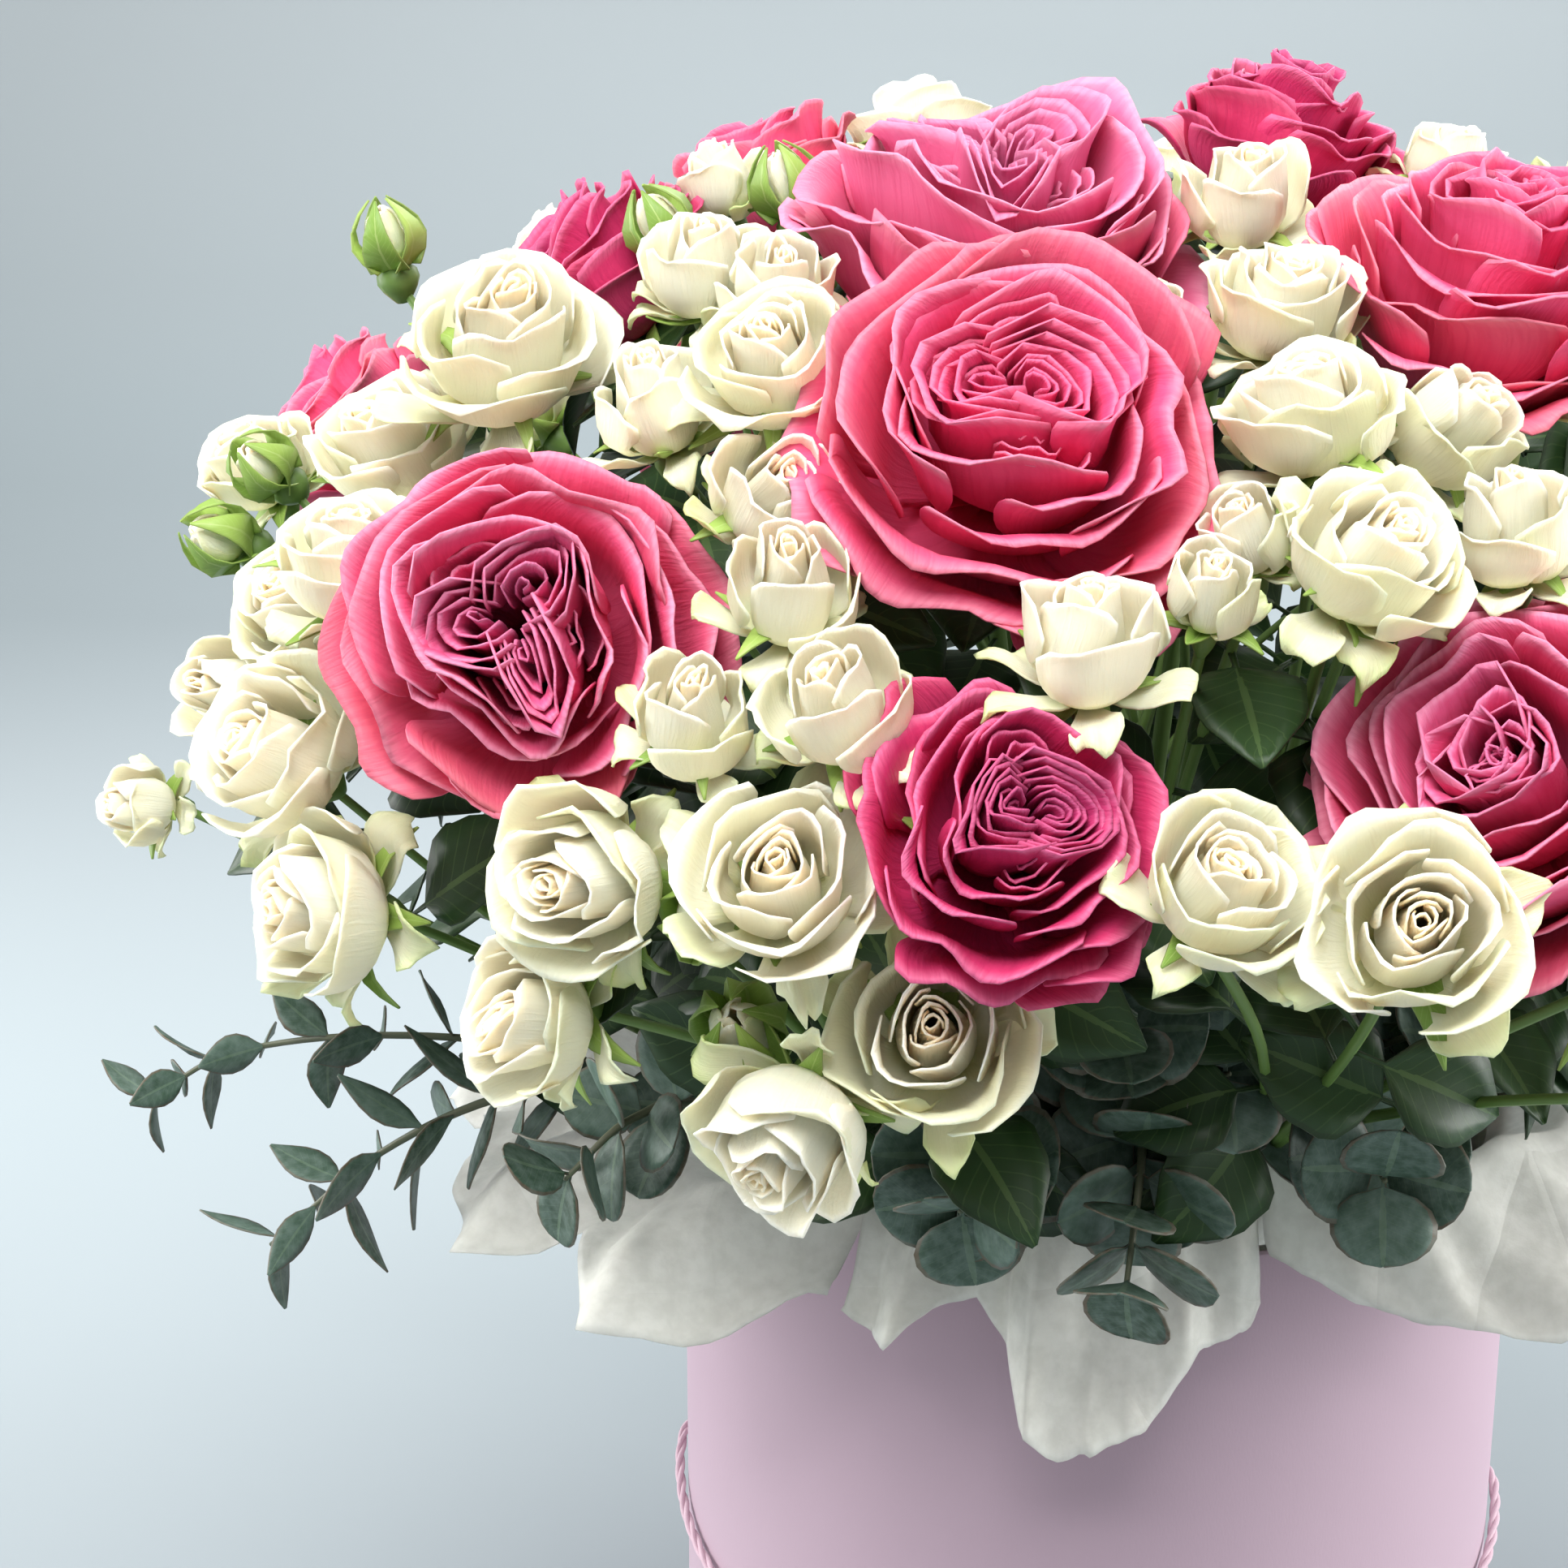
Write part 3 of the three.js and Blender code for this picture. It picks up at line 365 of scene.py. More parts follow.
class PieceMesh:
    """Collects shaped grids and tubes into one mesh with its own maps."""

    def __init__(self, name: str) -> None:
        """Starts an empty piece with that name."""
        self.name = name
        self.points: list[Array] = []
        self.faces: list[Array] = []
        self.along: list[Array] = []
        self.tint: list[Array] = []
        self.count = 0

    def add(self, points: Array, faces: Array, along: Array, tint: Array) -> None:
        """Adds a patch.

        Args:
            points: Its corners in millimetres.
            faces: Its faces as rows of four corner numbers.
            along: Two numbers a corner: across and along the petal, leaf or stem.
            tint: Two numbers a corner: how far out the petal stands, and its own random tone.
        """
        self.points.append(points)
        self.faces.append(faces + self.count)
        self.along.append(along)
        self.tint.append(tint)
        self.count += len(points)

    def build(self, finish: bpy.types.Material, thickness: float = 0.0) -> bpy.types.Object:
        """Makes the object.

        Args:
            finish: Its material.
            thickness: Millimetres that open sheets are thickened to; 0 for closed tubes.

        Returns:
            The finished piece, selected and active.
        """
        points = np.vstack(self.points) * MM
        faces = np.vstack(self.faces)
        mesh = bpy.data.meshes.new(self.name)
        mesh.vertices.add(len(points))
        mesh.vertices.foreach_set("co", points.ravel())
        mesh.loops.add(faces.size)
        mesh.loops.foreach_set("vertex_index", faces.ravel())
        mesh.polygons.add(len(faces))
        mesh.polygons.foreach_set("loop_start", np.arange(0, faces.size, 4))
        mesh.polygons.foreach_set("use_smooth", np.ones(len(faces), bool))
        mesh.update(calc_edges=True)
        for title, values in (("along", self.along), ("tint", self.tint)):
            layer = mesh.uv_layers.new(name=title)
            layer.data.foreach_set("uv", np.vstack(values)[faces.ravel()].ravel())
        mesh.materials.append(finish)
        mesh.validate()
        piece = bpy.data.objects.new(self.name, mesh)
        bpy.context.scene.collection.objects.link(piece)
        pick(piece)
        if thickness:
            modify(piece, "SOLIDIFY", thickness=thickness * MM, offset=0.0)
        return piece


def pick(piece: bpy.types.Object) -> None:
    """Selects one piece alone and makes it active."""
    bpy.ops.object.select_all(action="DESELECT")
    piece.select_set(True)
    bpy.context.view_layer.objects.active = piece


def modify(piece: bpy.types.Object, kind: str, **settings: object) -> None:
    """Gives the active piece a modifier of that kind with these settings, and applies it."""
    step = piece.modifiers.new(kind.lower(), kind)
    for key, value in settings.items():
        setattr(step, key, value)
    bpy.ops.object.modifier_apply(modifier=step.name)


def edit_selected(piece: bpy.types.Object, part: MeshPart, chosen: Callable[[object], bool]) -> None:
    """Enters edit mode on the active piece with only some of its parts selected.

    Args:
        piece: The piece.
        part: What is selected.
        chosen: Tells of one vertex, edge or face whether it is selected.
    """
    bpy.ops.object.mode_set(mode="EDIT")
    bpy.ops.mesh.select_mode(type=part.name)
    bpy.ops.mesh.select_all(action="DESELECT")
    bpy.ops.object.mode_set(mode="OBJECT")
    for one in getattr(piece.data, part.value):
        one.select = chosen(one)
    bpy.ops.object.mode_set(mode="EDIT")


def joined(pieces: Sequence[bpy.types.Object]) -> bpy.types.Object:
    """Joins pieces into the first of them."""
    pick(pieces[0])
    for piece in pieces[1:]:
        piece.select_set(True)
    bpy.ops.object.join()
    return pieces[0]


def hand_in(piece: bpy.types.Object, slot: str, *nodes: str) -> bpy.types.Object:
    """Fixes a finished piece to the box and reports it.

    Args:
        piece: The piece, with its place in its mesh.
        slot: The record's material slot for the piece; not used.
        nodes: The solids that it stands for.

    Returns:
        The piece.
    """
    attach(piece, "root")
    if nodes:
        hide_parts(*nodes)
    faces = sum(len(p.vertices) - 2 for p in piece.data.polygons)
    LOG.info("%s: %d triangles", piece.name, faces)
    return piece


def smooth_line(points: Sequence[Array], steps: int) -> Array:
    """A curve through waypoints.

    Args:
        points: The waypoints.
        steps: Points on each leg between two of them.

    Returns:
        The points of a Catmull-Rom curve.
    """
    p = np.array([2 * points[0] - points[1], *points, 2 * points[-1] - points[-2]])
    line = []
    for k in range(1, len(p) - 2):
        for t in np.linspace(0, 1, steps, endpoint=False):
            a, b, c, d = p[k - 1], p[k], p[k + 1], p[k + 2]
            line.append(0.5 * (2 * b + (c - a) * t + (2 * a - 5 * b + 4 * c - d) * t ** 2
                               + (3 * b - a - 3 * c + d) * t ** 3))
    return np.array([*line, p[-2]])


def carried_frames(line: Array) -> tuple[Array, Array, Array]:
    """Tangent and two side vectors at each point of a line, carried along it without twist."""
    tangents = np.gradient(line, axis=0)
    tangents /= np.linalg.norm(tangents, axis=1)[:, None]
    side = unit(np.cross(tangents[0], [0.31, 0.17, 0.93]))
    sides = []
    for t in tangents:
        side = unit(side - t * float(side @ t))
        sides.append(side)
    sides = np.array(sides)
    return tangents, sides, np.cross(tangents, sides)


def add_tube(mesh: PieceMesh, line: Array, radii: Array, sides: int, tone: float) -> None:
    """Adds a closed round stem along a line.

    Args:
        mesh: The piece that it is added to.
        line: Centre line in millimetres.
        radii: Radius at each point.
        sides: Corners round it.
        tone: Its random tone.
    """
    tip, rounding = 0.02, 0.4
    line = np.vstack([line[:1], line, line[-1:]])
    radii = np.concatenate([[tip], radii, [tip]])
    line[0] += unit(line[1] - line[2]) * rounding
    line[-1] += unit(line[-2] - line[-3]) * rounding
    _, side, up = carried_frames(line)
    angle = np.linspace(0, FULL_TURN, sides, endpoint=False)
    ring = np.cos(angle)[None, :, None] * side[:, None] + np.sin(angle)[None, :, None] * up[:, None]
    points = (line[:, None] + ring * radii[:, None, None]).reshape(-1, 3)
    count = len(line)
    k = np.arange(sides)
    after = (k + 1) % sides
    faces = [np.stack([r * sides + k, r * sides + after, (r + 1) * sides + after,
                       (r + 1) * sides + k], axis=1) for r in range(count - 1)]
    half = sides // 2
    rows = np.arange(half - 1)
    caps = np.stack([sides - 1 - rows, sides - 2 - rows, rows + 1, rows], axis=1)
    ends = [caps, (count - 1) * sides + caps[:, ::-1]]
    along = np.stack([np.tile(k / sides, count), np.repeat(np.linspace(0, 1, count), sides)], axis=1)
    mesh.add(points, np.vstack([*faces, *ends]), along, np.tile([0.5, tone], (len(points), 1)))


@dataclass(frozen=True)
class Petal:
    """A petal in bloom radii, shaped from its spine outwards.

    Args:
        azimuth: Where its middle stands round the bloom's axis, in radians.
        spine: Distance from the axis and height of its foot, belly, shoulder and lip.
        width: Half its greatest width.
        cup: Radius that it is cupped to from side to side.
        roll: How far its lip rolls back.
        ruffle: Depth of the waves in its lip.
        depth: 0 in the heart of the bloom, 1 for the outermost petals.
        tone: Its own random tone.
        phase: Start of its waves.
        point: How far its lip is drawn to a point; below 0 it is notched.
        spiral: How much nearer the axis one of its sides lies than the other.
        heart: Centre of the swirl that it curls round.
        press: How far the swirl is pressed flat, and the direction of that in radians.
    """

    azimuth: float
    spine: tuple[tuple[float, float], ...]
    width: float
    cup: float
    roll: float = 0.05
    ruffle: float = 0.02
    depth: float = 0.5
    tone: float = 0.5
    phase: float = 0.0
    point: float = 0.0
    spiral: float = 0.0
    heart: tuple[float, float] = (0.0, 0.0)
    press: tuple[float, float] = (1.0, 0.0)

    def shape(self, grid: Grid) -> Array:
        """The petal's corners in its bloom's frame, one for each corner of the grid."""
        u = grid.u
        edge = np.abs(u)
        v = 1 - (1 - grid.v) ** 1.35
        # The lip's outline: rounded, a little wavy and lopsided, notched once, drawn to its point.
        lip = 1 - 0.2 * edge ** 2.6 + 0.03 * np.sin(self.phase * 1.3 + 3.4 * u)
        lopsided = 0.05 * math.sin(self.phase * 4.3) * u
        lip += (lopsided + 0.012 * np.sin(self.phase * 2.1 + 6.1 * u)) * self.depth
        lip -= 0.035 * np.exp(-((u - 0.6 * math.sin(self.phase * 5)) / 0.13) ** 2) * self.depth
        lip += self.point * (1 - edge) ** 2 - max(self.point, 0)
        t = np.clip(v * lip, 0, 1.02)
        # The spine, a Bezier curve through its four places, and its direction.
        (r0, z0), (r1, z1), (r2, z2), (r3, z3) = self.spine
        b = [(1 - t) ** 3, 3 * t * (1 - t) ** 2, 3 * t ** 2 * (1 - t), t ** 3]
        d = [3 * (1 - t) ** 2, 6 * t * (1 - t), 3 * t ** 2]
        rho = b[0] * r0 + b[1] * r1 + b[2] * r2 + b[3] * r3
        high = b[0] * z0 + b[1] * z1 + b[2] * z2 + b[3] * z3
        d_rho = d[0] * (r1 - r0) + d[1] * (r2 - r1) + d[2] * (r3 - r2)
        d_high = d[0] * (z1 - z0) + d[1] * (z2 - z1) + d[2] * (z3 - z2)
        size = np.maximum(np.hypot(d_rho, d_high), 1e-6)
        in_rho, in_high = -d_high / size, d_rho / size
        # The petal swells up to its shoulder and narrows a little from there to the lip.
        shoulder = 0.7
        swell = np.sin(np.minimum(t / shoulder, 1) * math.pi / 2)
        narrowing = 1 - 0.16 * np.clip((t - shoulder) / 0.3, 0, 1) ** 2
        outline = self.width * (0.24 + 0.76 * swell) * narrowing
        angle = np.clip(u * outline / self.cup, -2.9, 2.9)
        side = self.cup * np.sin(angle)
        sag = self.cup * (1 - np.cos(angle)) + self.spiral * u * np.minimum(2 * t, 1)
        # The lip rolls back, most at its corners, and is ruffled and pinched.
        roll = self.roll * t ** 4 * (0.45 + 0.55 * u ** 2)
        wave = np.sin(self.phase + 2.7 * u) + 0.6 * np.sin(2.3 * self.phase + 6.8 * u + 2 * t)
        pinch = np.exp(-((u - 0.7 * math.sin(self.phase * 2.9)) / 0.28) ** 2) * self.depth ** 2
        out = sag - roll + self.ruffle * t ** 3 * (wave + 1.2 * math.sin(self.phase * 6.1) * pinch)
        rho = rho + in_rho * out
        high = high + in_high * out - 0.35 * self.roll * t ** 6
        high += 0.5 * self.ruffle * t ** 4 * np.sin(self.phase * 3 + 4.5 * u)
        c, s = math.cos(self.azimuth), math.sin(self.azimuth)
        x, y = rho * c - side * s, rho * s + side * c
        flat, way = self.press
        if flat != 1.0:
            pc, ps = math.cos(way), math.sin(way)
            near = (x * pc + y * ps) * (flat - 1)
            x, y = x + near * pc, y + near * ps
        return np.stack([x + self.heart[0], y + self.heart[1], high], axis=1)


@dataclass(frozen=True)
class Whorl:
    """A ring of alike petals: how many, and what they share."""

    count: int
    spine: tuple[tuple[float, float], ...]
    width: float
    cup: float
    roll: float
    ruffle: float
    depth: float


GARDEN_GUARD = Whorl(3, ((0.14, 0.02), (0.84, -0.04), (0.84, 0.38), (1.2, 0.56)),
                     0.66, 1.25, 0.16, 0.05, 1.0)
GARDEN_WHORLS: tuple[Whorl, ...] = (
    Whorl(5, ((0.14, 0.02), (0.92, 0.02), (0.74, 0.60), (1.06, 0.78)), 0.74, 1.05, 0.15, 0.05, 0.95),
    Whorl(4, ((0.14, 0.06), (0.86, 0.10), (0.66, 0.78), (0.91, 0.96)), 0.82, 0.86, 0.12, 0.045, 0.85),
    Whorl(4, ((0.13, 0.14), (0.76, 0.22), (0.56, 0.90), (0.76, 1.06)), 0.72, 0.68, 0.10, 0.04, 0.68),
    Whorl(4, ((0.12, 0.20), (0.62, 0.36), (0.46, 1.00), (0.61, 1.15)), 0.60, 0.54, 0.08, 0.035, 0.5),
)
# One more ring for a bloom with a single heart.
INNER_WHORL = Whorl(3, ((0.12, 0.26), (0.54, 0.44), (0.38, 1.04), (0.50, 1.20)),
                    0.54, 0.44, 0.06, 0.03, 0.36)
SPRAY_GUARD = Whorl(5, ((0.16, 0.0), (0.85, -0.10), (0.98, 0.42), (1.26, 0.14)),
                    0.36, 0.6, 0.14, 0.11, 1.0)
# How far out each petal of a spray rose lies, from the middle of its spiral to the outermost one.
OPEN_SHARES = (0.0, 0.035, 0.07, 0.11, 0.15, 0.19, 0.24, 0.3, 0.37, 0.45, 0.54, 0.63, 0.72, 0.8, 0.88,
               0.94, 1.0)
CUP_SHARES = (0.0, 0.05, 0.1, 0.16, 0.22, 0.3, 0.4, 0.52, 0.65, 0.78, 0.9, 1.0)


@dataclass(frozen=True)
class Nest:
    """How the petals of one of several hearts are nested, in bloom radii.

    Args:
        reach: Distance of the heart from the bloom's axis.
        room: Distance of its outermost lip from its own middle.
        folds: How many petals it has.
        narrow: How far it is pressed flat between its neighbours.
        between: Height of the folded petals between it and the next.
    """

    reach: float
    room: float
    folds: int
    narrow: float
    between: float


# By the number of hearts in the bloom.
NESTS = {2: Nest(0.13, 0.42, 8, 0.88, 1.07), 3: Nest(0.18, 0.38, 5, 0.76, 0.99)}


@dataclass(frozen=True)
class Warp:
    """A gentle unevenness through a whole bloom, which keeps its petals from crossing.

    Args:
        broad: Depth of its broad waves in bloom radii.
        fine: Depth of its finer waves.
        lift: Depth of its waves in height.
        phase: Where the waves start.
    """

    broad: float
    fine: float
    lift: float
    phase: float

    def apply(self, points: Array) -> Array:
        """The points moved by the waves, none at the bloom's foot."""
        x, y, z = points.T
        rise = np.clip(z / 0.9, 0, 1.3) ** 1.5
        p = self.phase
        dx = self.broad * np.sin(3.3 * y + p) + self.fine * np.sin(8.1 * y + 3.1 * x + 2 * p)
        dy = self.broad * np.sin(3.1 * x + 1.7 * p) + self.fine * np.sin(7.7 * x - 2.7 * y + 3 * p)
        dz = self.lift * (np.sin(2.9 * x + 2.3 * p) + np.sin(3.7 * y + 0.7 * p))
        return np.stack([x + dx * rise, y + dy * rise, z + dz * rise], axis=1)


@dataclass
class RoseHead:
    """The petals of one bloom, laid out from its form and its own random draw."""

    bloom: Bloom
    hearts: int = 1
    petals: list[Petal] = field(default_factory=list)
    warp: Warp = Warp(0.0, 0.0, 0.0, 0.0)

    def __post_init__(self) -> None:
        """Lays out the petals."""
        draw = np.random.default_rng(1000 + self.bloom.index)
        if self.bloom.kind is BloomKind.GARDEN:
            self._garden(draw)
            self.warp = Warp(0.065, 0.03, 0.055, draw.uniform(*PHASES))
        elif self.bloom.kind is BloomKind.BUD:
            self._bud(draw)
        else:
            self._spray(draw)
            self.warp = Warp(0.06, 0.03, 0.045, draw.uniform(*PHASES))

    def _ring(self, whorl: Whorl, azimuths: Sequence[float], draw: np.random.Generator) -> None:
        """Lays out one ring of petals.

        Args:
            whorl: What its petals share.
            azimuths: Where each petal's middle stands.
            draw: The random draw.
        """
        for azimuth in azimuths:
            grow = draw.uniform(0.89, 1.07)
            lift = draw.uniform(-0.13, 0.07)
            spine = tuple((r * (grow if i else 1), z + (lift if i > 1 else 0))
                          for i, (r, z) in enumerate(whorl.spine))
            self.petals.append(Petal(
                azimuth, spine, whorl.width * draw.uniform(0.88, 1.14), whorl.cup,
                whorl.roll * draw.uniform(0.2, 1.9), whorl.ruffle * draw.uniform(0.6, 1.9),
                whorl.depth, draw.uniform(), draw.uniform(*PHASES), draw.uniform(-0.07, 0.05), 0.06))

    def _garden(self, draw: np.random.Generator) -> None:
        """Guard petals and whorls of broad petals round one or more tightly folded hearts."""
        large = 43
        guards = GARDEN_GUARD.count if self.bloom.radius > large else 2
        self._ring(GARDEN_GUARD, [math.radians(k * 360 / guards - 55) for k in range(guards)], draw)
        for level, whorl in enumerate(GARDEN_WHORLS):
            start = level * 0.66 + draw.uniform(0, 1)
            self._ring(whorl, [start + FULL_TURN * (k + draw.uniform(-0.2, 0.2)) / whorl.count
                               for k in range(whorl.count)], draw)
        if self.hearts == 1:
            self._ring(INNER_WHORL, [draw.uniform(0, 6) + FULL_TURN * k / INNER_WHORL.count
                                     for k in range(INNER_WHORL.count)], draw)
            self._swirl(draw, 13, 0.40)
            return
        for h in range(self.hearts):
            turn = FULL_TURN * (h + draw.uniform(-0.06, 0.06)) / self.hearts
            self._nest(turn, draw)
            self._fold_between(turn + math.pi / self.hearts, draw)

    def _swirl(self, draw: np.random.Generator, folds: int, room: float) -> None:
        """Winds the petals of a single heart round its middle.

        Args:
            draw: The random draw.
            folds: How many petals it has.
            room: Distance of its outermost lip from its middle.
        """
        least = 0.02
        for k in range(folds):
            share = k / (folds - 1)
            lip = least + (room - least) * share
            neck = max(least, 0.8 * lip - 0.04)
            high = 1.14 + 0.06 * share + draw.uniform(-0.04, 0.04)
            spine = ((0.5 * lip, 0.45), (lip + 0.03, 0.6), (neck, high - 0.08), (lip, high))
            self.petals.append(Petal(
                k * GOLDEN_TURN, spine, 0.1 + 1.4 * lip, max(neck, 0.05), 0.02 + 0.04 * share,
                0.012 + 0.025 * share, 0.26 * share, draw.uniform(), draw.uniform(*PHASES), -0.04, 0.04))

    def _nest(self, turn: float, draw: np.random.Generator) -> None:
        """Nests the petals of one of several hearts, all open towards the middle of the bloom.

        Args:
            turn: The way from the middle of the bloom to the heart, in radians.
            draw: The random draw.
        """
        nest = NESTS[self.hearts]
        heart = (nest.reach * math.cos(turn), nest.reach * math.sin(turn))
        least = 0.035
        for k in range(nest.folds):
            share = k / (nest.folds - 1)
            lip = least + (nest.room - least) * share
            neck = 0.68 * lip - 0.015
            high = 1.10 + 0.07 * share + draw.uniform(-0.05, 0.04)
            spine = ((0.4 * lip, 0.5), (lip + 0.01, 0.66), (neck, high - 0.12), (lip + 0.02 * share, high))
            self.petals.append(Petal(
                turn + draw.uniform(-0.22, 0.22), spine, (0.07 + 1.75 * lip) * draw.uniform(0.92, 1.08),
                max(0.85 * lip, 0.04), 0.02 + 0.05 * share, 0.02 + 0.05 * share, 0.05 + 0.24 * share,
                draw.uniform(), draw.uniform(*PHASES), 0.03 + 0.06 * share, 0.02, heart,
                (nest.narrow, turn + math.pi / 2)))

    def _fold_between(self, azimuth: float, draw: np.random.Generator) -> None:
        """Fills the notch between two hearts with folded petals, at its azimuth."""
        for k in range(3):
            lip = 0.31 + 0.09 * k
            high = NESTS[self.hearts].between + 0.02 * k + draw.uniform(-0.04, 0.03)
            spine = ((0.1, 0.4), (lip + 0.02, 0.6), (lip - 0.06, high - 0.1), (lip, high))
            self.petals.append(Petal(
                azimuth + draw.uniform(-0.1, 0.1), spine, 0.10 + 0.08 * k, 0.09 + 0.08 * k, 0.04, 0.03,
                0.2 + 0.06 * k, draw.uniform(), draw.uniform(*PHASES), -0.1, 0.04))

    def _spray(self, draw: np.random.Generator) -> None:
        """A small tight spiral in a few broad wrapping petals, and loose guards rolled back below."""
        top = self.bloom.height / self.bloom.radius
        opening = self.bloom.opening
        opened = self.bloom.kind is BloomKind.OPEN
        reach = 0.80 + 0.18 * opening if opened else 0.62 + 0.26 * opening
        rolls_from = 0.45
        for k, share in enumerate(OPEN_SHARES if opened else CUP_SHARES):
            lip = 0.03 + reach * share
            rolled = max(0.0, share - rolls_from) / 0.55
            high = top * (0.97 - 0.02 * share) - (0.06 + 0.24 * opening) * share ** 3
            high += draw.uniform(-0.05, 0.04) * (0.4 + share)
            belly = 0.26 + (0.94 if opened else 1.08) * share ** 0.7
            neck = max(0.015, 0.84 * lip - 0.05) + (0.0 if opened else 0.1 * share)
            spine = ((0.12, 0.05), (belly, 0.1 + 0.25 * (1 - share)), (neck, high - 0.12 - 0.1 * share),
                     (lip + 0.1 * rolled * opening, high))
            self.petals.append(Petal(
                k * GOLDEN_TURN + draw.uniform(-0.2, 0.2), spine,
                (0.1 + 1.35 * lip * (1 - 0.28 * share)) * draw.uniform(0.93, 1.07),
                max(0.06, 0.92 * lip + 0.05), 0.02 + 0.26 * rolled * draw.uniform(0.5, 1.5),
                (0.01 + 0.045 * share) * draw.uniform(0.4, 1.6), share, 0.6 * draw.uniform(),
                draw.uniform(*PHASES), 0.1 * rolled, 0.02 + 0.05 * share))
        loose_from = 0.35
        for k in range(SPRAY_GUARD.count if opening > loose_from else 2):
            self._guard(FULL_TURN * (k + draw.uniform(-0.35, 0.35)) / SPRAY_GUARD.count, draw)

    def _guard(self, azimuth: float, draw: np.random.Generator) -> None:
        """A loose outer petal of a spray rose, folded back and tinged with green."""
        far = draw.uniform(0.86, 1.12)
        drop = draw.uniform(-0.25, 0.3)
        spine = tuple((r * (far if i > 1 else 1), z + (drop if i > 2 else 0))
                      for i, (r, z) in enumerate(SPRAY_GUARD.spine))
        self.petals.append(Petal(
            azimuth, spine, SPRAY_GUARD.width * draw.uniform(0.7, 1.25), SPRAY_GUARD.cup,
            SPRAY_GUARD.roll * draw.uniform(-1.2, 1.6), SPRAY_GUARD.ruffle * draw.uniform(0.6, 1.5),
            SPRAY_GUARD.depth, draw.uniform(0.6, 1.3), draw.uniform(*PHASES), draw.uniform(-0.1, 0.2), 0.08))

    def _bud(self, draw: np.random.Generator) -> None:
        """Closed petals that just show between the sepals."""
        petals = 7
        for k in range(petals):
            share = k / (petals - 1)
            spine = ((0.1, 0.2), (0.62 + 0.3 * share, 0.5), (0.55 + 0.25 * share, 1.6),
                     (0.06 + 0.16 * share, 2.12 - 0.12 * share))
            self.petals.append(Petal(k * GOLDEN_TURN, spine, 0.62, 0.62, 0.0, 0.01, share, draw.uniform(),
                                     draw.uniform(*PHASES), 0.08, 0.15))

    def _grid(self, petal: Petal) -> Grid:
        """The grid that a petal is shaped from, finer for the outer ones."""
        if self.bloom.kind is BloomKind.GARDEN:
            steps = ((0.75, (13, 10)), (0.3, (11, 8)), (-1, (8, 7)))
        else:
            steps = ((0.22, (8, 7)), (-1, (6, 6)))
        return next(Grid.of(*size) for depth, size in steps if petal.depth > depth)

    def add_to(self, mesh: PieceMesh) -> None:
        """Adds the petals to a piece."""
        for petal in self.petals:
            grid = self._grid(petal)
            along = np.stack([grid.u * 0.5 + 0.5, grid.v], axis=1)
            tint = np.tile([petal.depth, petal.tone], (len(grid.u), 1))
            mesh.add(self.bloom.set_out(self.warp.apply(petal.shape(grid))), grid.faces, along, tint)


@dataclass(frozen=True)
class Leaf:
    """A leaf from its foot to its tip, in millimetres.

    Args:
        kind: Its outline.
        foot: Where its stalk starts.
        tip: Where it ends.
        width: Its greatest width.
        up: Roughly the way its upper face looks.
        bend: How far its middle stands above the line from foot to tip, as a share of it.
        fold: How far its halves fold up along the midrib, in radians.
        tone: Its own random tone.
        curl: How far its sides curl down.
    """

    kind: LeafKind
    foot: Array
    tip: Array
    width: float
    up: Array
    bend: float = 0.1
    fold: float = 0.3
    tone: float = 0.5
    curl: float = 0.0

    def _half_width(self, v: Array) -> Array:
        """Half the leaf's width along it."""
        if self.kind is LeafKind.SILVER_DOLLAR:
            t = np.clip((v - 0.12) / 0.88, 0, 1)
            return 0.5 * self.width * np.sqrt(np.clip(1 - (2 * t - 1) ** 2, 0, 1)) + 0.5
        if self.kind is LeafKind.WILLOW:
            t = np.clip((v - 0.06) / 0.94, 0, 1)
            return 0.5 * self.width * np.sin(math.pi * t ** 0.8) + 0.4
        if self.kind is LeafKind.SEPAL:
            return 0.5 * self.width * np.clip(1 - v ** 1.6, 0, 1) + 0.25
        t = np.clip((v - 0.2) / 0.8, 0, 1)
        teeth = 1 + 0.05 * np.sin(t * 40) * (t > 0)
        return 0.5 * self.width * np.sin(math.pi * t ** 0.72) ** 0.9 * teeth + 0.7

    def add_to(self, mesh: PieceMesh) -> None:
        """Adds the leaf to a piece."""
        grid = Grid.of(*LEAF_GRIDS[self.kind])
        v = grid.v if self.kind is LeafKind.ROSE else 0.5 - 0.5 * np.cos(math.pi * grid.v)
        span = self.tip - self.foot
        long = float(np.linalg.norm(span))
        ahead = unit(span)
        side = unit(np.cross(ahead, self.up))
        lift = unit(np.cross(side, ahead))
        half = self._half_width(v)
        out = grid.u * half
        rise = np.abs(out) * math.sin(self.fold) - self.curl * (out ** 2) / max(self.width, 1)
        arch = self.bend * long * np.sin(math.pi * v)
        wave = 0.02 * self.width * np.sin(6 * v + 5 * self.tone + 2 * grid.u) * grid.u ** 2
        points = (self.foot + np.outer(v, span) + np.outer(out * math.cos(self.fold), side)
                  + np.outer(arch + rise + wave, lift))
        along = np.stack([grid.u * 0.5 + 0.5, v], axis=1)
        mesh.add(points, grid.faces, along, np.tile([0.5, self.tone], (len(v), 1)))


BLACK: Colour = (0, 0, 0)
WHITE: Colour = (1, 1, 1)


def linear(channel: int) -> float:
    """One channel of a screen colour in linear light."""
    x = channel / 255
    return x / 12.92 if x <= 0.04045 else ((x + 0.055) / 1.055) ** 2.4


def rgb(red: int, green: int, blue: int) -> Colour:
    """A screen colour as the linear values that a shader takes."""
    return linear(red), linear(green), linear(blue)


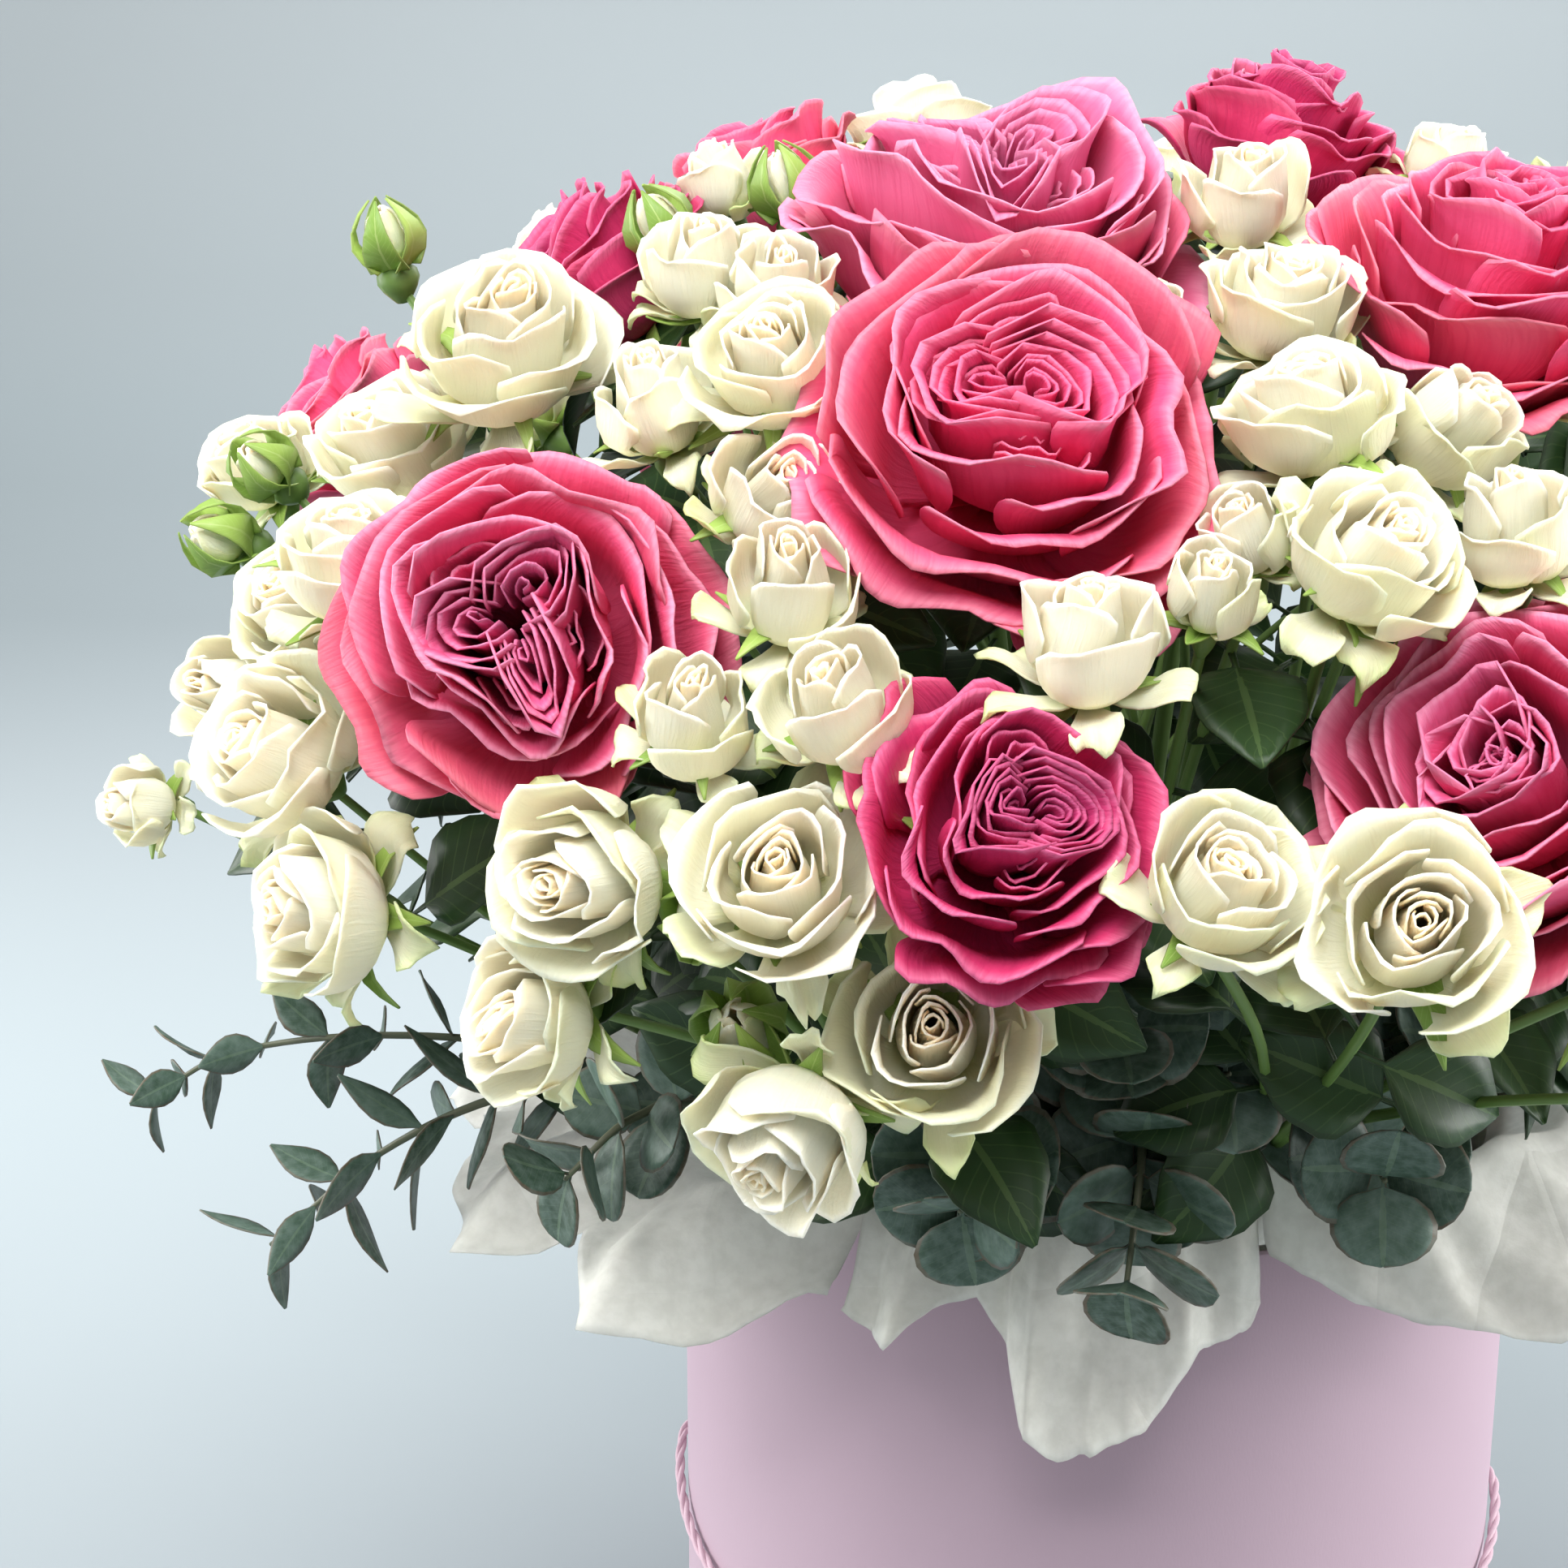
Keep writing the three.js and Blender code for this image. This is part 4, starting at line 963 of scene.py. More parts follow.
class Shade:
    """One material under construction, with short ways to add its nodes."""

    def __init__(self, name: str) -> None:
        """Starts the material with that name."""
        self.material = bpy.data.materials.new(name)
        self.material.use_nodes = True
        self.tree = self.material.node_tree
        self.surface = self.tree.nodes["Principled BSDF"]
        self.surface.subsurface_method = "BURLEY"

    def node(self, kind: str, inputs: Optional[dict] = None, **settings: object) -> bpy.types.Node:
        """Adds a node.

        Args:
            kind: Its type.
            inputs: Values or other nodes' sockets for its inputs.
            settings: Its own settings.

        Returns:
            The node.
        """
        made = self.tree.nodes.new(kind)
        for key, value in settings.items():
            setattr(made, key, value)
        for key, value in (inputs or {}).items():
            if isinstance(value, bpy.types.NodeSocket):
                self.tree.links.new(value, made.inputs[key])
            else:
                made.inputs[key].default_value = value
        return made

    def own_map(self, title: str) -> bpy.types.NodeSocket:
        """One of the piece's own maps."""
        return self.node("ShaderNodeUVMap", uv_map=title).outputs["UV"]

    def values(self, title: str) -> tuple[bpy.types.NodeSocket, bpy.types.NodeSocket]:
        """The two values of one of the piece's own maps."""
        split = self.node("ShaderNodeSeparateXYZ", {"Vector": self.own_map(title)})
        return split.outputs["X"], split.outputs["Y"]

    def place(self) -> bpy.types.NodeSocket:
        """The piece's own coordinates in metres."""
        return self.node("ShaderNodeTexCoord").outputs["Object"]

    def noise(self, vector: bpy.types.NodeSocket, scale: float, detail: float = 3,
              stretch: tuple[float, float, float] = (1, 1, 1)) -> bpy.types.NodeSocket:
        """Soft noise over a vector, with a scale and a stretch along each axis."""
        mapped = self.node("ShaderNodeMapping", {"Vector": vector, "Scale": stretch})
        made = self.node("ShaderNodeTexNoise", {"Vector": mapped.outputs["Vector"], "Scale": scale,
                                                "Detail": detail, "Roughness": 0.55})
        return made.outputs["Fac"]

    def ramp(self, fac: bpy.types.NodeSocket, stops: Sequence[tuple[float, Colour]]
             ) -> bpy.types.NodeSocket:
        """A colour ramp over a value."""
        made = self.node("ShaderNodeValToRGB", {"Fac": fac})
        band = made.color_ramp
        while len(band.elements) < len(stops):
            band.elements.new(0.5)
        for element, (at, colour) in zip(band.elements, stops):
            element.position = at
            element.color = (*colour, 1)
        return made.outputs["Color"]

    def mask(self, fac: bpy.types.NodeSocket, low: float, high: float) -> bpy.types.NodeSocket:
        """A value made steeper: black up to low and white from high on."""
        return self.ramp(fac, [(low, BLACK), (high, WHITE)])

    def mix(self, fac: object, a: object, b: object) -> bpy.types.NodeSocket:
        """Mixes two colours; each argument is a value or a socket."""
        made = self.node("ShaderNodeMix", data_type="RGBA")
        for socket, value in ((made.inputs[0], fac), (made.inputs[6], a), (made.inputs[7], b)):
            if isinstance(value, bpy.types.NodeSocket):
                self.tree.links.new(value, socket)
            else:
                socket.default_value = value if isinstance(value, float) else (*value, 1)
        return made.outputs[2]

    def maths(self, how: str, a: object, b: object = 0.0) -> bpy.types.NodeSocket:
        """One step of arithmetic on values or sockets."""
        return self.node("ShaderNodeMath", {0: a, 1: b}, operation=how).outputs[0]

    def times(self, a: object, b: object) -> bpy.types.NodeSocket:
        """The product of two values or sockets."""
        return self.maths("MULTIPLY", a, b)

    def paint(self, colour: bpy.types.NodeSocket) -> None:
        """Links the surface colour."""
        self.tree.links.new(colour, self.surface.inputs["Base Color"])

    def relief(self, height: bpy.types.NodeSocket, strength: float, distance: float) -> None:
        """Links a bump.

        Args:
            height: The relief.
            strength: From 0 to 1.
            distance: Metres that full relief stands out.
        """
        bump = self.node("ShaderNodeBump", {"Height": height, "Strength": strength,
                                            "Distance": distance})
        self.tree.links.new(bump.outputs["Normal"], self.surface.inputs["Normal"])

    def set(self, **values: object) -> None:
        """Sets even values on the surface shader; underscores stand for spaces."""
        for key, value in values.items():
            self.surface.inputs[key.replace("_", " ")].default_value = value


@dataclass(frozen=True)
class Finish:
    """A named finish, which each kind of finish dresses a shader with in its own way."""

    name: str

    def material(self) -> bpy.types.Material:
        """Builds the material."""
        shade = Shade(self.name)
        self.dress(shade)
        return shade.material

    def dress(self, shade: Shade) -> None:
        """Adds the finish's own nodes to its shader."""
        raise NotImplementedError(self.name)


@dataclass(frozen=True)
class PetalFinish(Finish):
    """Velvety petals with fine veins, a deeper foot and a paler lip.

    Args:
        foot: Colour at the petal's foot.
        body: Colour of its middle.
        lip: Colour of its rim.
        heart: Colour towards the heart of the bloom.
        outer: Tinge of the outermost petals.
        vein: Colour of the veins.
        vein_share: How strongly the veins show.
        glow: How much light passes into the petal.
    """

    foot: Colour
    body: Colour
    lip: Colour
    heart: Colour
    outer: Colour
    vein: Colour
    vein_share: float = 0.25
    glow: float = 0.0

    def dress(self, shade: Shade) -> None:
        """Paints foot, body and lip along the petal, then heart, outer petals and veins."""
        _, along = shade.values("along")
        depth, tone = shade.values("tint")
        place = shade.place()
        cloud = shade.noise(place, 60, 3)
        body = shade.ramp(shade.maths("ADD", along, shade.times(cloud, 0.12)),
                          [(0.0, self.foot), (0.34, self.body), (0.86, self.body), (1.08, self.lip)])
        inner = shade.mix(0.75, body, self.heart)
        base = shade.mix(shade.maths("SMOOTH_MIN", shade.times(depth, 2.2), 1.0), inner, body)
        rim = shade.times(shade.maths("GREATER_THAN", depth, 0.7), shade.times(tone, 0.75))
        base = shade.mix(shade.times(rim, shade.maths("POWER", along, 1.5)), base, self.outer)
        veins = shade.mask(shade.noise(shade.own_map("along"), 1.0, 2, (34, 2.2, 1)), 0.42, 0.62)
        shade.paint(shade.mix(shade.times(veins, self.vein_share), base, self.vein))
        shade.relief(shade.maths("ADD", veins, shade.noise(place, 900, 2)), 0.35, 0.00025)
        shade.set(Roughness=0.55, Specular_IOR_Level=0.3, Subsurface_Weight=self.glow,
                  Subsurface_Radius=(1.0, 0.7, 0.5), Subsurface_Scale=0.003)


@dataclass(frozen=True)
class LeafFinish(Finish):
    """Leaves with a pale midrib, side veins, cloudy colour and a tinged margin.

    Args:
        dark: Darkest green of the blade.
        light: Lightest green.
        vein: Colour of midrib and side veins.
        margin: Colour of its edge.
        bloom: How strongly a waxy bloom shows.
        roughness: How matt it is.
        spread: How far single leaves differ in tone.
    """

    dark: Colour
    light: Colour
    vein: Colour
    margin: Colour
    bloom: float = 0.0
    roughness: float = 0.45
    spread: float = 0.7

    def dress(self, shade: Shade) -> None:
        """Paints the cloudy blade, its veins, its margin and the wax on it."""
        across, along = shade.values("along")
        _, tone = shade.values("tint")
        place = shade.place()
        cloud = shade.noise(place, 140, 4)
        colour = shade.mix(shade.maths("ADD", shade.times(tone, self.spread), shade.times(cloud, 0.4)),
                           self.dark, self.light)
        off = shade.maths("ABSOLUTE", shade.maths("SUBTRACT", across, 0.5))
        midrib = shade.maths("LESS_THAN", off, 0.035)
        slant = shade.maths("SUBTRACT", along, shade.times(off, 0.45))
        side = shade.maths("ABSOLUTE", shade.maths("SINE", shade.times(slant, 34.0)))
        side = shade.maths("LESS_THAN", side, 0.16)
        veins = shade.maths("MAXIMUM", midrib, shade.times(side, 0.4))
        colour = shade.mix(shade.times(veins, 0.5), colour, self.vein)
        edge = shade.maths("GREATER_THAN", off, 0.455)
        colour = shade.mix(shade.times(edge, 0.6), colour, self.margin)
        if self.bloom:
            wax = shade.mask(shade.noise(place, 320, 3), 0.35, 0.7)
            colour = shade.mix(shade.times(wax, self.bloom), colour, rgb(150, 170, 162))
        shade.paint(colour)
        shade.relief(shade.maths("SUBTRACT", cloud, veins), 0.4, 0.0004)
        shade.set(Roughness=self.roughness, Specular_IOR_Level=0.4)


@dataclass(frozen=True)
class StemFinish(Finish):
    """Green stems with fine streaks along them."""

    green: Colour
    brown: Colour

    def dress(self, shade: Shade) -> None:
        """Draws the streaks out along the stem."""
        streak = shade.noise(shade.own_map("along"), 1.0, 3, (9, 3, 1))
        shade.paint(shade.mix(streak, self.green, self.brown))
        shade.relief(streak, 0.4, 0.0003)
        shade.set(Roughness=0.5, Specular_IOR_Level=0.4)


@dataclass(frozen=True)
class CardFinish(Finish):
    """Matte coated board with a faint fibre and soft clouds of painted shade."""

    colour: Colour
    fibre_and_shade: Colour

    def dress(self, shade: Shade) -> None:
        """Clouds the board with painted shade and draws its fibre."""
        place = shade.place()
        fibre = shade.noise(place, 1500, 4, (1, 1, 0.35))
        cloud = shade.noise(place, 14, 3)
        # The soft darker clouds over the board are painted shade; the fibre below is the board's own.
        colour = shade.mix(shade.times(cloud, 0.22), self.colour, self.fibre_and_shade)
        shade.paint(shade.mix(shade.times(fibre, 0.1), colour, self.fibre_and_shade))
        shade.relief(shade.maths("ADD", fibre, shade.times(cloud, 0.5)), 0.2, 0.0002)
        shade.set(Roughness=0.72, Specular_IOR_Level=0.25, Sheen_Weight=0.1)


@dataclass(frozen=True)
class TissueFinish(Finish):
    """Thin mottled tissue in overlapping plies, which lets light through, with painted shade on its doubled
    plies.

    Args:
        colour: Colour of the paper.
        cloud: Colour where its pulp is denser.
        doubled_ply_shade: Painted shade where plies lie over each other and let less light through.
        ply: Plies to a metre.
    """

    colour: Colour
    cloud: Colour
    doubled_ply_shade: Colour
    ply: float = 17.0

    def dress(self, shade: Shade) -> None:
        """Mottles the paper, paints shade on its doubled plies and creases it between them."""
        place = shade.place()
        pulp = shade.mask(shade.noise(place, 210, 7), 0.36, 0.62)
        speck = shade.noise(place, 900, 3)
        plies = {"Vector": place, "Scale": self.ply}
        # Darker patches for the doubled plies: painted shade of the light that comes through the tissue.
        ply_shade = shade.node("ShaderNodeTexVoronoi", plies).outputs["Color"]
        colour = shade.mix(shade.times(pulp, 0.35), self.colour, self.cloud)
        shade.paint(shade.mix(shade.times(ply_shade, 0.16), colour, self.doubled_ply_shade))
        crease = shade.node("ShaderNodeTexVoronoi", plies, feature="DISTANCE_TO_EDGE").outputs["Distance"]
        crease = shade.mask(crease, 0.0, 0.03)
        shade.relief(shade.maths("ADD", shade.times(speck, 0.3), crease), 0.3, 0.0006)
        shade.set(Roughness=0.6, Specular_IOR_Level=0.3, Subsurface_Weight=0.6,
                  Subsurface_Radius=(1.0, 1.0, 0.9), Subsurface_Scale=0.006)


@dataclass(frozen=True)
class FoamFinish(Finish):
    """Open-cell flower foam, dark with water."""

    wet: Colour
    dry: Colour

    def dress(self, shade: Shade) -> None:
        """Mixes wet and dry patches over open cells."""
        place = shade.place()
        cells = shade.node("ShaderNodeTexVoronoi", {"Vector": place, "Scale": 900.0}).outputs["Distance"]
        shade.paint(shade.mix(shade.noise(place, 45, 4), self.wet, self.dry))
        shade.relief(cells, 0.8, 0.0008)
        shade.set(Roughness=0.95, Specular_IOR_Level=0.15)


@dataclass(frozen=True)
class FilmFinish(Finish):
    """Cloudy plastic film."""

    colour: Colour
    haze: Colour

    def dress(self, shade: Shade) -> None:
        """Clouds the film with haze."""
        haze = shade.noise(shade.place(), 60, 3)
        shade.paint(shade.mix(shade.times(haze, 0.4), self.colour, self.haze))
        shade.relief(haze, 0.3, 0.0006)
        shade.set(Roughness=0.3, Specular_IOR_Level=0.5, Coat_Weight=0.2)


@dataclass(frozen=True)
class CordFinish(Finish):
    """Twisted cord with fine fibres in its strands."""

    colour: Colour
    groove: Colour

    def dress(self, shade: Shade) -> None:
        """Draws the fibres out along the strands."""
        fibre = shade.noise(shade.own_map("along"), 1.0, 3, (14, 420, 1))
        shade.paint(shade.mix(fibre, self.groove, self.colour))
        shade.relief(fibre, 0.5, 0.0002)
        shade.set(Roughness=0.7, Specular_IOR_Level=0.3, Sheen_Weight=0.3)


@dataclass
class Finishes:
    """Every finish of the box, built once."""

    rose: bpy.types.Material
    lilac: bpy.types.Material
    mauve: bpy.types.Material
    magenta: bpy.types.Material
    white: bpy.types.Material
    rose_leaf: bpy.types.Material
    gum_leaf: bpy.types.Material
    gum_twig: bpy.types.Material
    stalk: bpy.types.Material
    sepal: bpy.types.Material
    card: bpy.types.Material
    board: bpy.types.Material
    tissue: bpy.types.Material
    foam: bpy.types.Material
    film: bpy.types.Material
    cord: bpy.types.Material

    @classmethod
    def mixed(cls) -> "Finishes":
        """Mixes the colours read off the flowers, the card and the tissue."""
        finishes = dict(
            rose=PetalFinish("rose_pink_petal", rgb(220, 52, 92), rgb(236, 88, 134), rgb(242, 138, 166),
                             rgb(228, 86, 140), rgb(236, 124, 134), rgb(214, 58, 108)),
            lilac=PetalFinish("lilac_pink_petal", rgb(210, 60, 90), rgb(230, 112, 154), rgb(240, 158, 188),
                              rgb(214, 110, 158), rgb(230, 100, 122), rgb(216, 84, 132)),
            mauve=PetalFinish("mauve_heart_petal", rgb(200, 42, 78), rgb(232, 94, 136), rgb(240, 148, 178),
                              rgb(204, 98, 150), rgb(232, 108, 118), rgb(206, 56, 104)),
            magenta=PetalFinish("magenta_petal", rgb(158, 26, 62), rgb(208, 54, 108), rgb(226, 108, 150),
                                rgb(166, 56, 112), rgb(212, 70, 108), rgb(172, 30, 84)),
            white=PetalFinish("ivory_petal", rgb(196, 206, 128), rgb(234, 232, 213), rgb(246, 244, 233),
                              rgb(238, 228, 196), rgb(200, 214, 138), rgb(228, 224, 194), 0.1, 0.5),
            rose_leaf=LeafFinish("rose_leaf", rgb(22, 46, 24), rgb(48, 78, 36), rgb(96, 124, 70),
                                 rgb(34, 52, 24)),
            gum_leaf=LeafFinish("gum_leaf", rgb(30, 58, 34), rgb(88, 112, 98), rgb(112, 136, 108),
                                rgb(112, 84, 66), 0.3, 0.5, 0.8),
            gum_twig=StemFinish("grey_green_twig", rgb(74, 96, 72), rgb(112, 104, 84)),
            stalk=StemFinish("green_stalk", rgb(86, 122, 48), rgb(112, 138, 74)),
            sepal=LeafFinish("sepal_green", rgb(110, 148, 58), rgb(172, 200, 100), rgb(188, 210, 130),
                             rgb(140, 160, 84)),
            card=CardFinish("lilac_pink_card", rgb(196, 171, 185), rgb(180, 154, 169)),
            board=CardFinish("base_board", rgb(214, 200, 205), rgb(190, 172, 180)),
            tissue=TissueFinish("white_tissue", rgb(204, 204, 195), rgb(234, 234, 226),
                                rgb(150, 150, 138)),
            foam=FoamFinish("wet_foam", rgb(28, 44, 28), rgb(52, 72, 46)),
            film=FilmFinish("liner_film", rgb(222, 228, 226), rgb(190, 198, 196)),
            cord=CordFinish("pink_cord", rgb(232, 204, 215), rgb(204, 168, 184)),
        )
        return cls(**{part: finish.material() for part, finish in finishes.items()})


@dataclass
class HatBox:
    """The card box, its base board, the liner and the foam block, all in millimetres.

    Args:
        finishes: All finishes.
        radius: Outer radius of the card.
        height: Height of the card.
        wall: Thickness of the card.
        base: Thickness of the base board.
        clearance: Gap between the base board and what stands round or on it.
        liner_radius: Outer radius of the liner.
        liner_top: Height of its rim.
        film: Thickness of its film.
        foam_radius: Radius of the foam.
        foam_foot: Height of its underside.
        foam_edge: Height of its edge, above which its mound starts.
        mound: Radius and height of each step of the mound.
        hole: Azimuth of the cord's holes, their height and their radius.
        crease: Smallest angle in degrees that stays a sharp edge.
    """

    finishes: Finishes
    radius: float = BOX_RADIUS
    height: float = 240
    wall: float = 2.8
    base: float = 3.0
    clearance: float = 0.3
    liner_radius: float = 110
    liner_top: float = 228.0
    film: float = 1.2
    foam_radius: float = 108.5
    foam_foot: float = 4.8
    foam_edge: float = 222.0
    mound: tuple[tuple[float, float], ...] = ((100, 236), (90, 247), (78, 254), (60, 262), (40, 269),
                                              (18, 274))
    hole: tuple[float, float, float] = (92, 114.6, 2.3)
    crease: float = 35

    def build(self) -> None:
        """Makes the four pieces."""
        hand_in(self._wall(), "blush_card", "box_wall")
        hand_in(self._base(), "kraft_board", "box_base")
        hand_in(self._liner(), "liner_film", "liner")
        hand_in(self._foam(), "flower_foam", "foam")

    def _cylinder(self, name: str, corners: int, radius: float, low: float, high: float,
                  ends: str = "NGON") -> bpy.types.Object:
        """Starts a piece as a cylinder round the box's axis.

        Args:
            name: The piece's name.
            corners: Corners round it.
            radius: Its radius.
            low: Height of its underside.
            high: Height of its top.
            ends: How its ends are filled.

        Returns:
            The cylinder, active, with its place in its mesh.
        """
        bpy.ops.object.select_all(action="DESELECT")
        bpy.ops.mesh.primitive_cylinder_add(
            vertices=corners, radius=radius * MM, depth=(high - low) * MM, end_fill_type=ends,
            location=(0, 0, (low + high) / 2 * MM))
        piece = bpy.context.object
        piece.name = name
        bpy.ops.object.transform_apply(location=True, rotation=True, scale=True)
        return piece

    def _finished(self, piece: bpy.types.Object, crease: float, finish: bpy.types.Material
                  ) -> bpy.types.Object:
        """Smooths the active piece up to an angle in degrees and gives it its finish alone."""
        bpy.ops.object.shade_smooth_by_angle(angle=math.radians(crease))
        piece.data.materials.clear()
        piece.data.materials.append(finish)
        return piece

    def _wall(self) -> bpy.types.Object:
        """The rolled card wall with its two cord holes and softened rims."""
        wall = self._cylinder("card_wall", 160, self.radius, 0, self.height, "NOTHING")
        modify(wall, "SOLIDIFY", thickness=self.wall * MM, offset=-1)
        modify(wall, "BEVEL", width=0.7 * MM, segments=2)
        azimuth, height, radius = self.hole
        for side in (-1, 1):
            at = direction(azimuth * side, 0) * (self.radius - self.wall / 2)
            bpy.ops.object.select_all(action="DESELECT")
            bpy.ops.mesh.primitive_cylinder_add(
                vertices=24, radius=radius * MM, depth=12 * MM,
                location=(at[0] * MM, at[1] * MM, height * MM),
                rotation=(0, math.pi / 2, math.radians(azimuth * side - 90)))
            drill = bpy.context.object
            pick(wall)
            modify(wall, "BOOLEAN", object=drill, operation="DIFFERENCE")
            bpy.data.objects.remove(drill)
        return self._finished(wall, self.crease, self.finishes.card)

    def _base(self) -> bpy.types.Object:
        """The base board that the box stands on."""
        board = self._cylinder("base_board", 160, self.radius - self.wall - self.clearance, 0, self.base)
        modify(board, "BEVEL", width=0.5 * MM, segments=2)
        return self._finished(board, self.crease, self.finishes.board)

    def _liner(self) -> bpy.types.Object:
        """The waterproof liner between the card and the foam."""
        film = self._cylinder("liner_cup", 96, self.liner_radius, self.base + self.clearance,
                              self.liner_top, "TRIFAN")
        middle = 0.01
        edit_selected(film, MeshPart.VERT, lambda v: (v.co.z > (self.liner_top - 1) * MM
                                                      and math.hypot(v.co.x, v.co.y) < middle))
        bpy.ops.mesh.delete(type="VERT")
        bpy.ops.object.mode_set(mode="OBJECT")
        modify(film, "SOLIDIFY", thickness=self.film * MM, offset=-1)
        return self._finished(film, self.crease, self.finishes.film)

    def _foam(self) -> bpy.types.Object:
        """The foam block, carved to a low mound above the rim."""
        foam = self._cylinder("foam_block", 72, self.foam_radius, self.foam_foot, self.foam_edge)
        edit_selected(foam, MeshPart.FACE, lambda face: face.center.z > (self.foam_edge - 1) * MM)
        reach, level = self.foam_radius, self.foam_edge
        for radius, height in self.mound:
            bpy.ops.mesh.inset(thickness=(reach - radius) * MM, depth=0)
            bpy.ops.transform.translate(value=(0, 0, (height - level) * MM))
            reach, level = radius, height
        bpy.ops.object.mode_set(mode="OBJECT")
        return self._finished(foam, 50, self.finishes.foam)


@dataclass
class CordHandle:
    """The cord that hangs round the front of the box between two holes in its sides.

    Args:
        finishes: All finishes.
        diameter: Millimetres across the cord.
        low: Height of its lowest point.
        droop: How fast it rises from there, in millimetres for a squared millimetre along the wall.
        end: Azimuth and distance from the axis from a hole's inside to where the cord hangs free.
        rest: Distance of its free part from the axis.
        strands: How many strands it is twisted from.
        strand: Radius of a strand as a share of the diameter.
        lay: Millimetres along the cord in which a strand winds on by one radian.
        rings: Points along each strand.
    """

    finishes: Finishes
    diameter: float = 3.6
    low: float = 93.7
    droop: float = 0.00052
    end: tuple[tuple[float, float], ...] = (
        (92, 118.0), (92, 122.0), (91.7, 125.0), (90.6, 126.9), (88, 127.6), (83, 127.6), (75, 127.4),
        (67, 127.2), (58, 127.1))
    rest: float = 127.1
    strands: int = 3
    strand: float = 0.22
    lay: float = 4.2
    rings: int = 420

    def _point(self, azimuth: float, radius: float) -> Array:
        """A point of the route at an azimuth and a distance from the box's axis."""
        arc = math.radians(azimuth) * BOX_RADIUS
        point = direction(azimuth, 0) * radius
        point[2] = self.low + self.droop * arc * arc
        return point

    def _route(self) -> Array:
        """The cord's centre line, out of one hole and into the other."""
        marks = [self._point(-a, r) for a, r in self.end]
        marks += [self._point(a, self.rest) for a in np.linspace(-48, 48, 17)]
        marks += [self._point(a, r) for a, r in reversed(self.end)]
        return smooth_line(marks, 8)

    def build(self) -> None:
        """Makes the cord and dresses its two knots."""
        route = self._route()
        steps = np.concatenate([[0], np.cumsum(np.linalg.norm(np.diff(route, axis=0), axis=1))])
        long = float(steps[-1])
        even = np.linspace(0, long, self.rings)
        line = np.stack([np.interp(even, steps, route[:, k]) for k in range(3)], axis=1)
        _, side, up = carried_frames(line)
        mesh = PieceMesh("handle_cord")
        strand = self.strand * self.diameter
        for k in range(self.strands):
            turn = even / self.lay + FULL_TURN * k / self.strands
            wound = line + strand * 1.02 * (np.cos(turn)[:, None] * side + np.sin(turn)[:, None] * up)
            add_tube(mesh, wound, np.full(len(line), strand * 1.06), 6, k / self.strands)
        cord = hand_in(mesh.build(self.finishes.cord), "pink_cord", "cord")
        for name in ("cord_knot_left", "cord_knot_right"):
            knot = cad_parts[name]
            knot.data.materials.clear()
            knot.data.materials.append(self.finishes.cord)


def zigzag(phase: Array) -> Array:
    """A triangle wave between -1 and 1, with sharp creases."""
    return np.abs((phase % 1) * 4 - 2) - 1


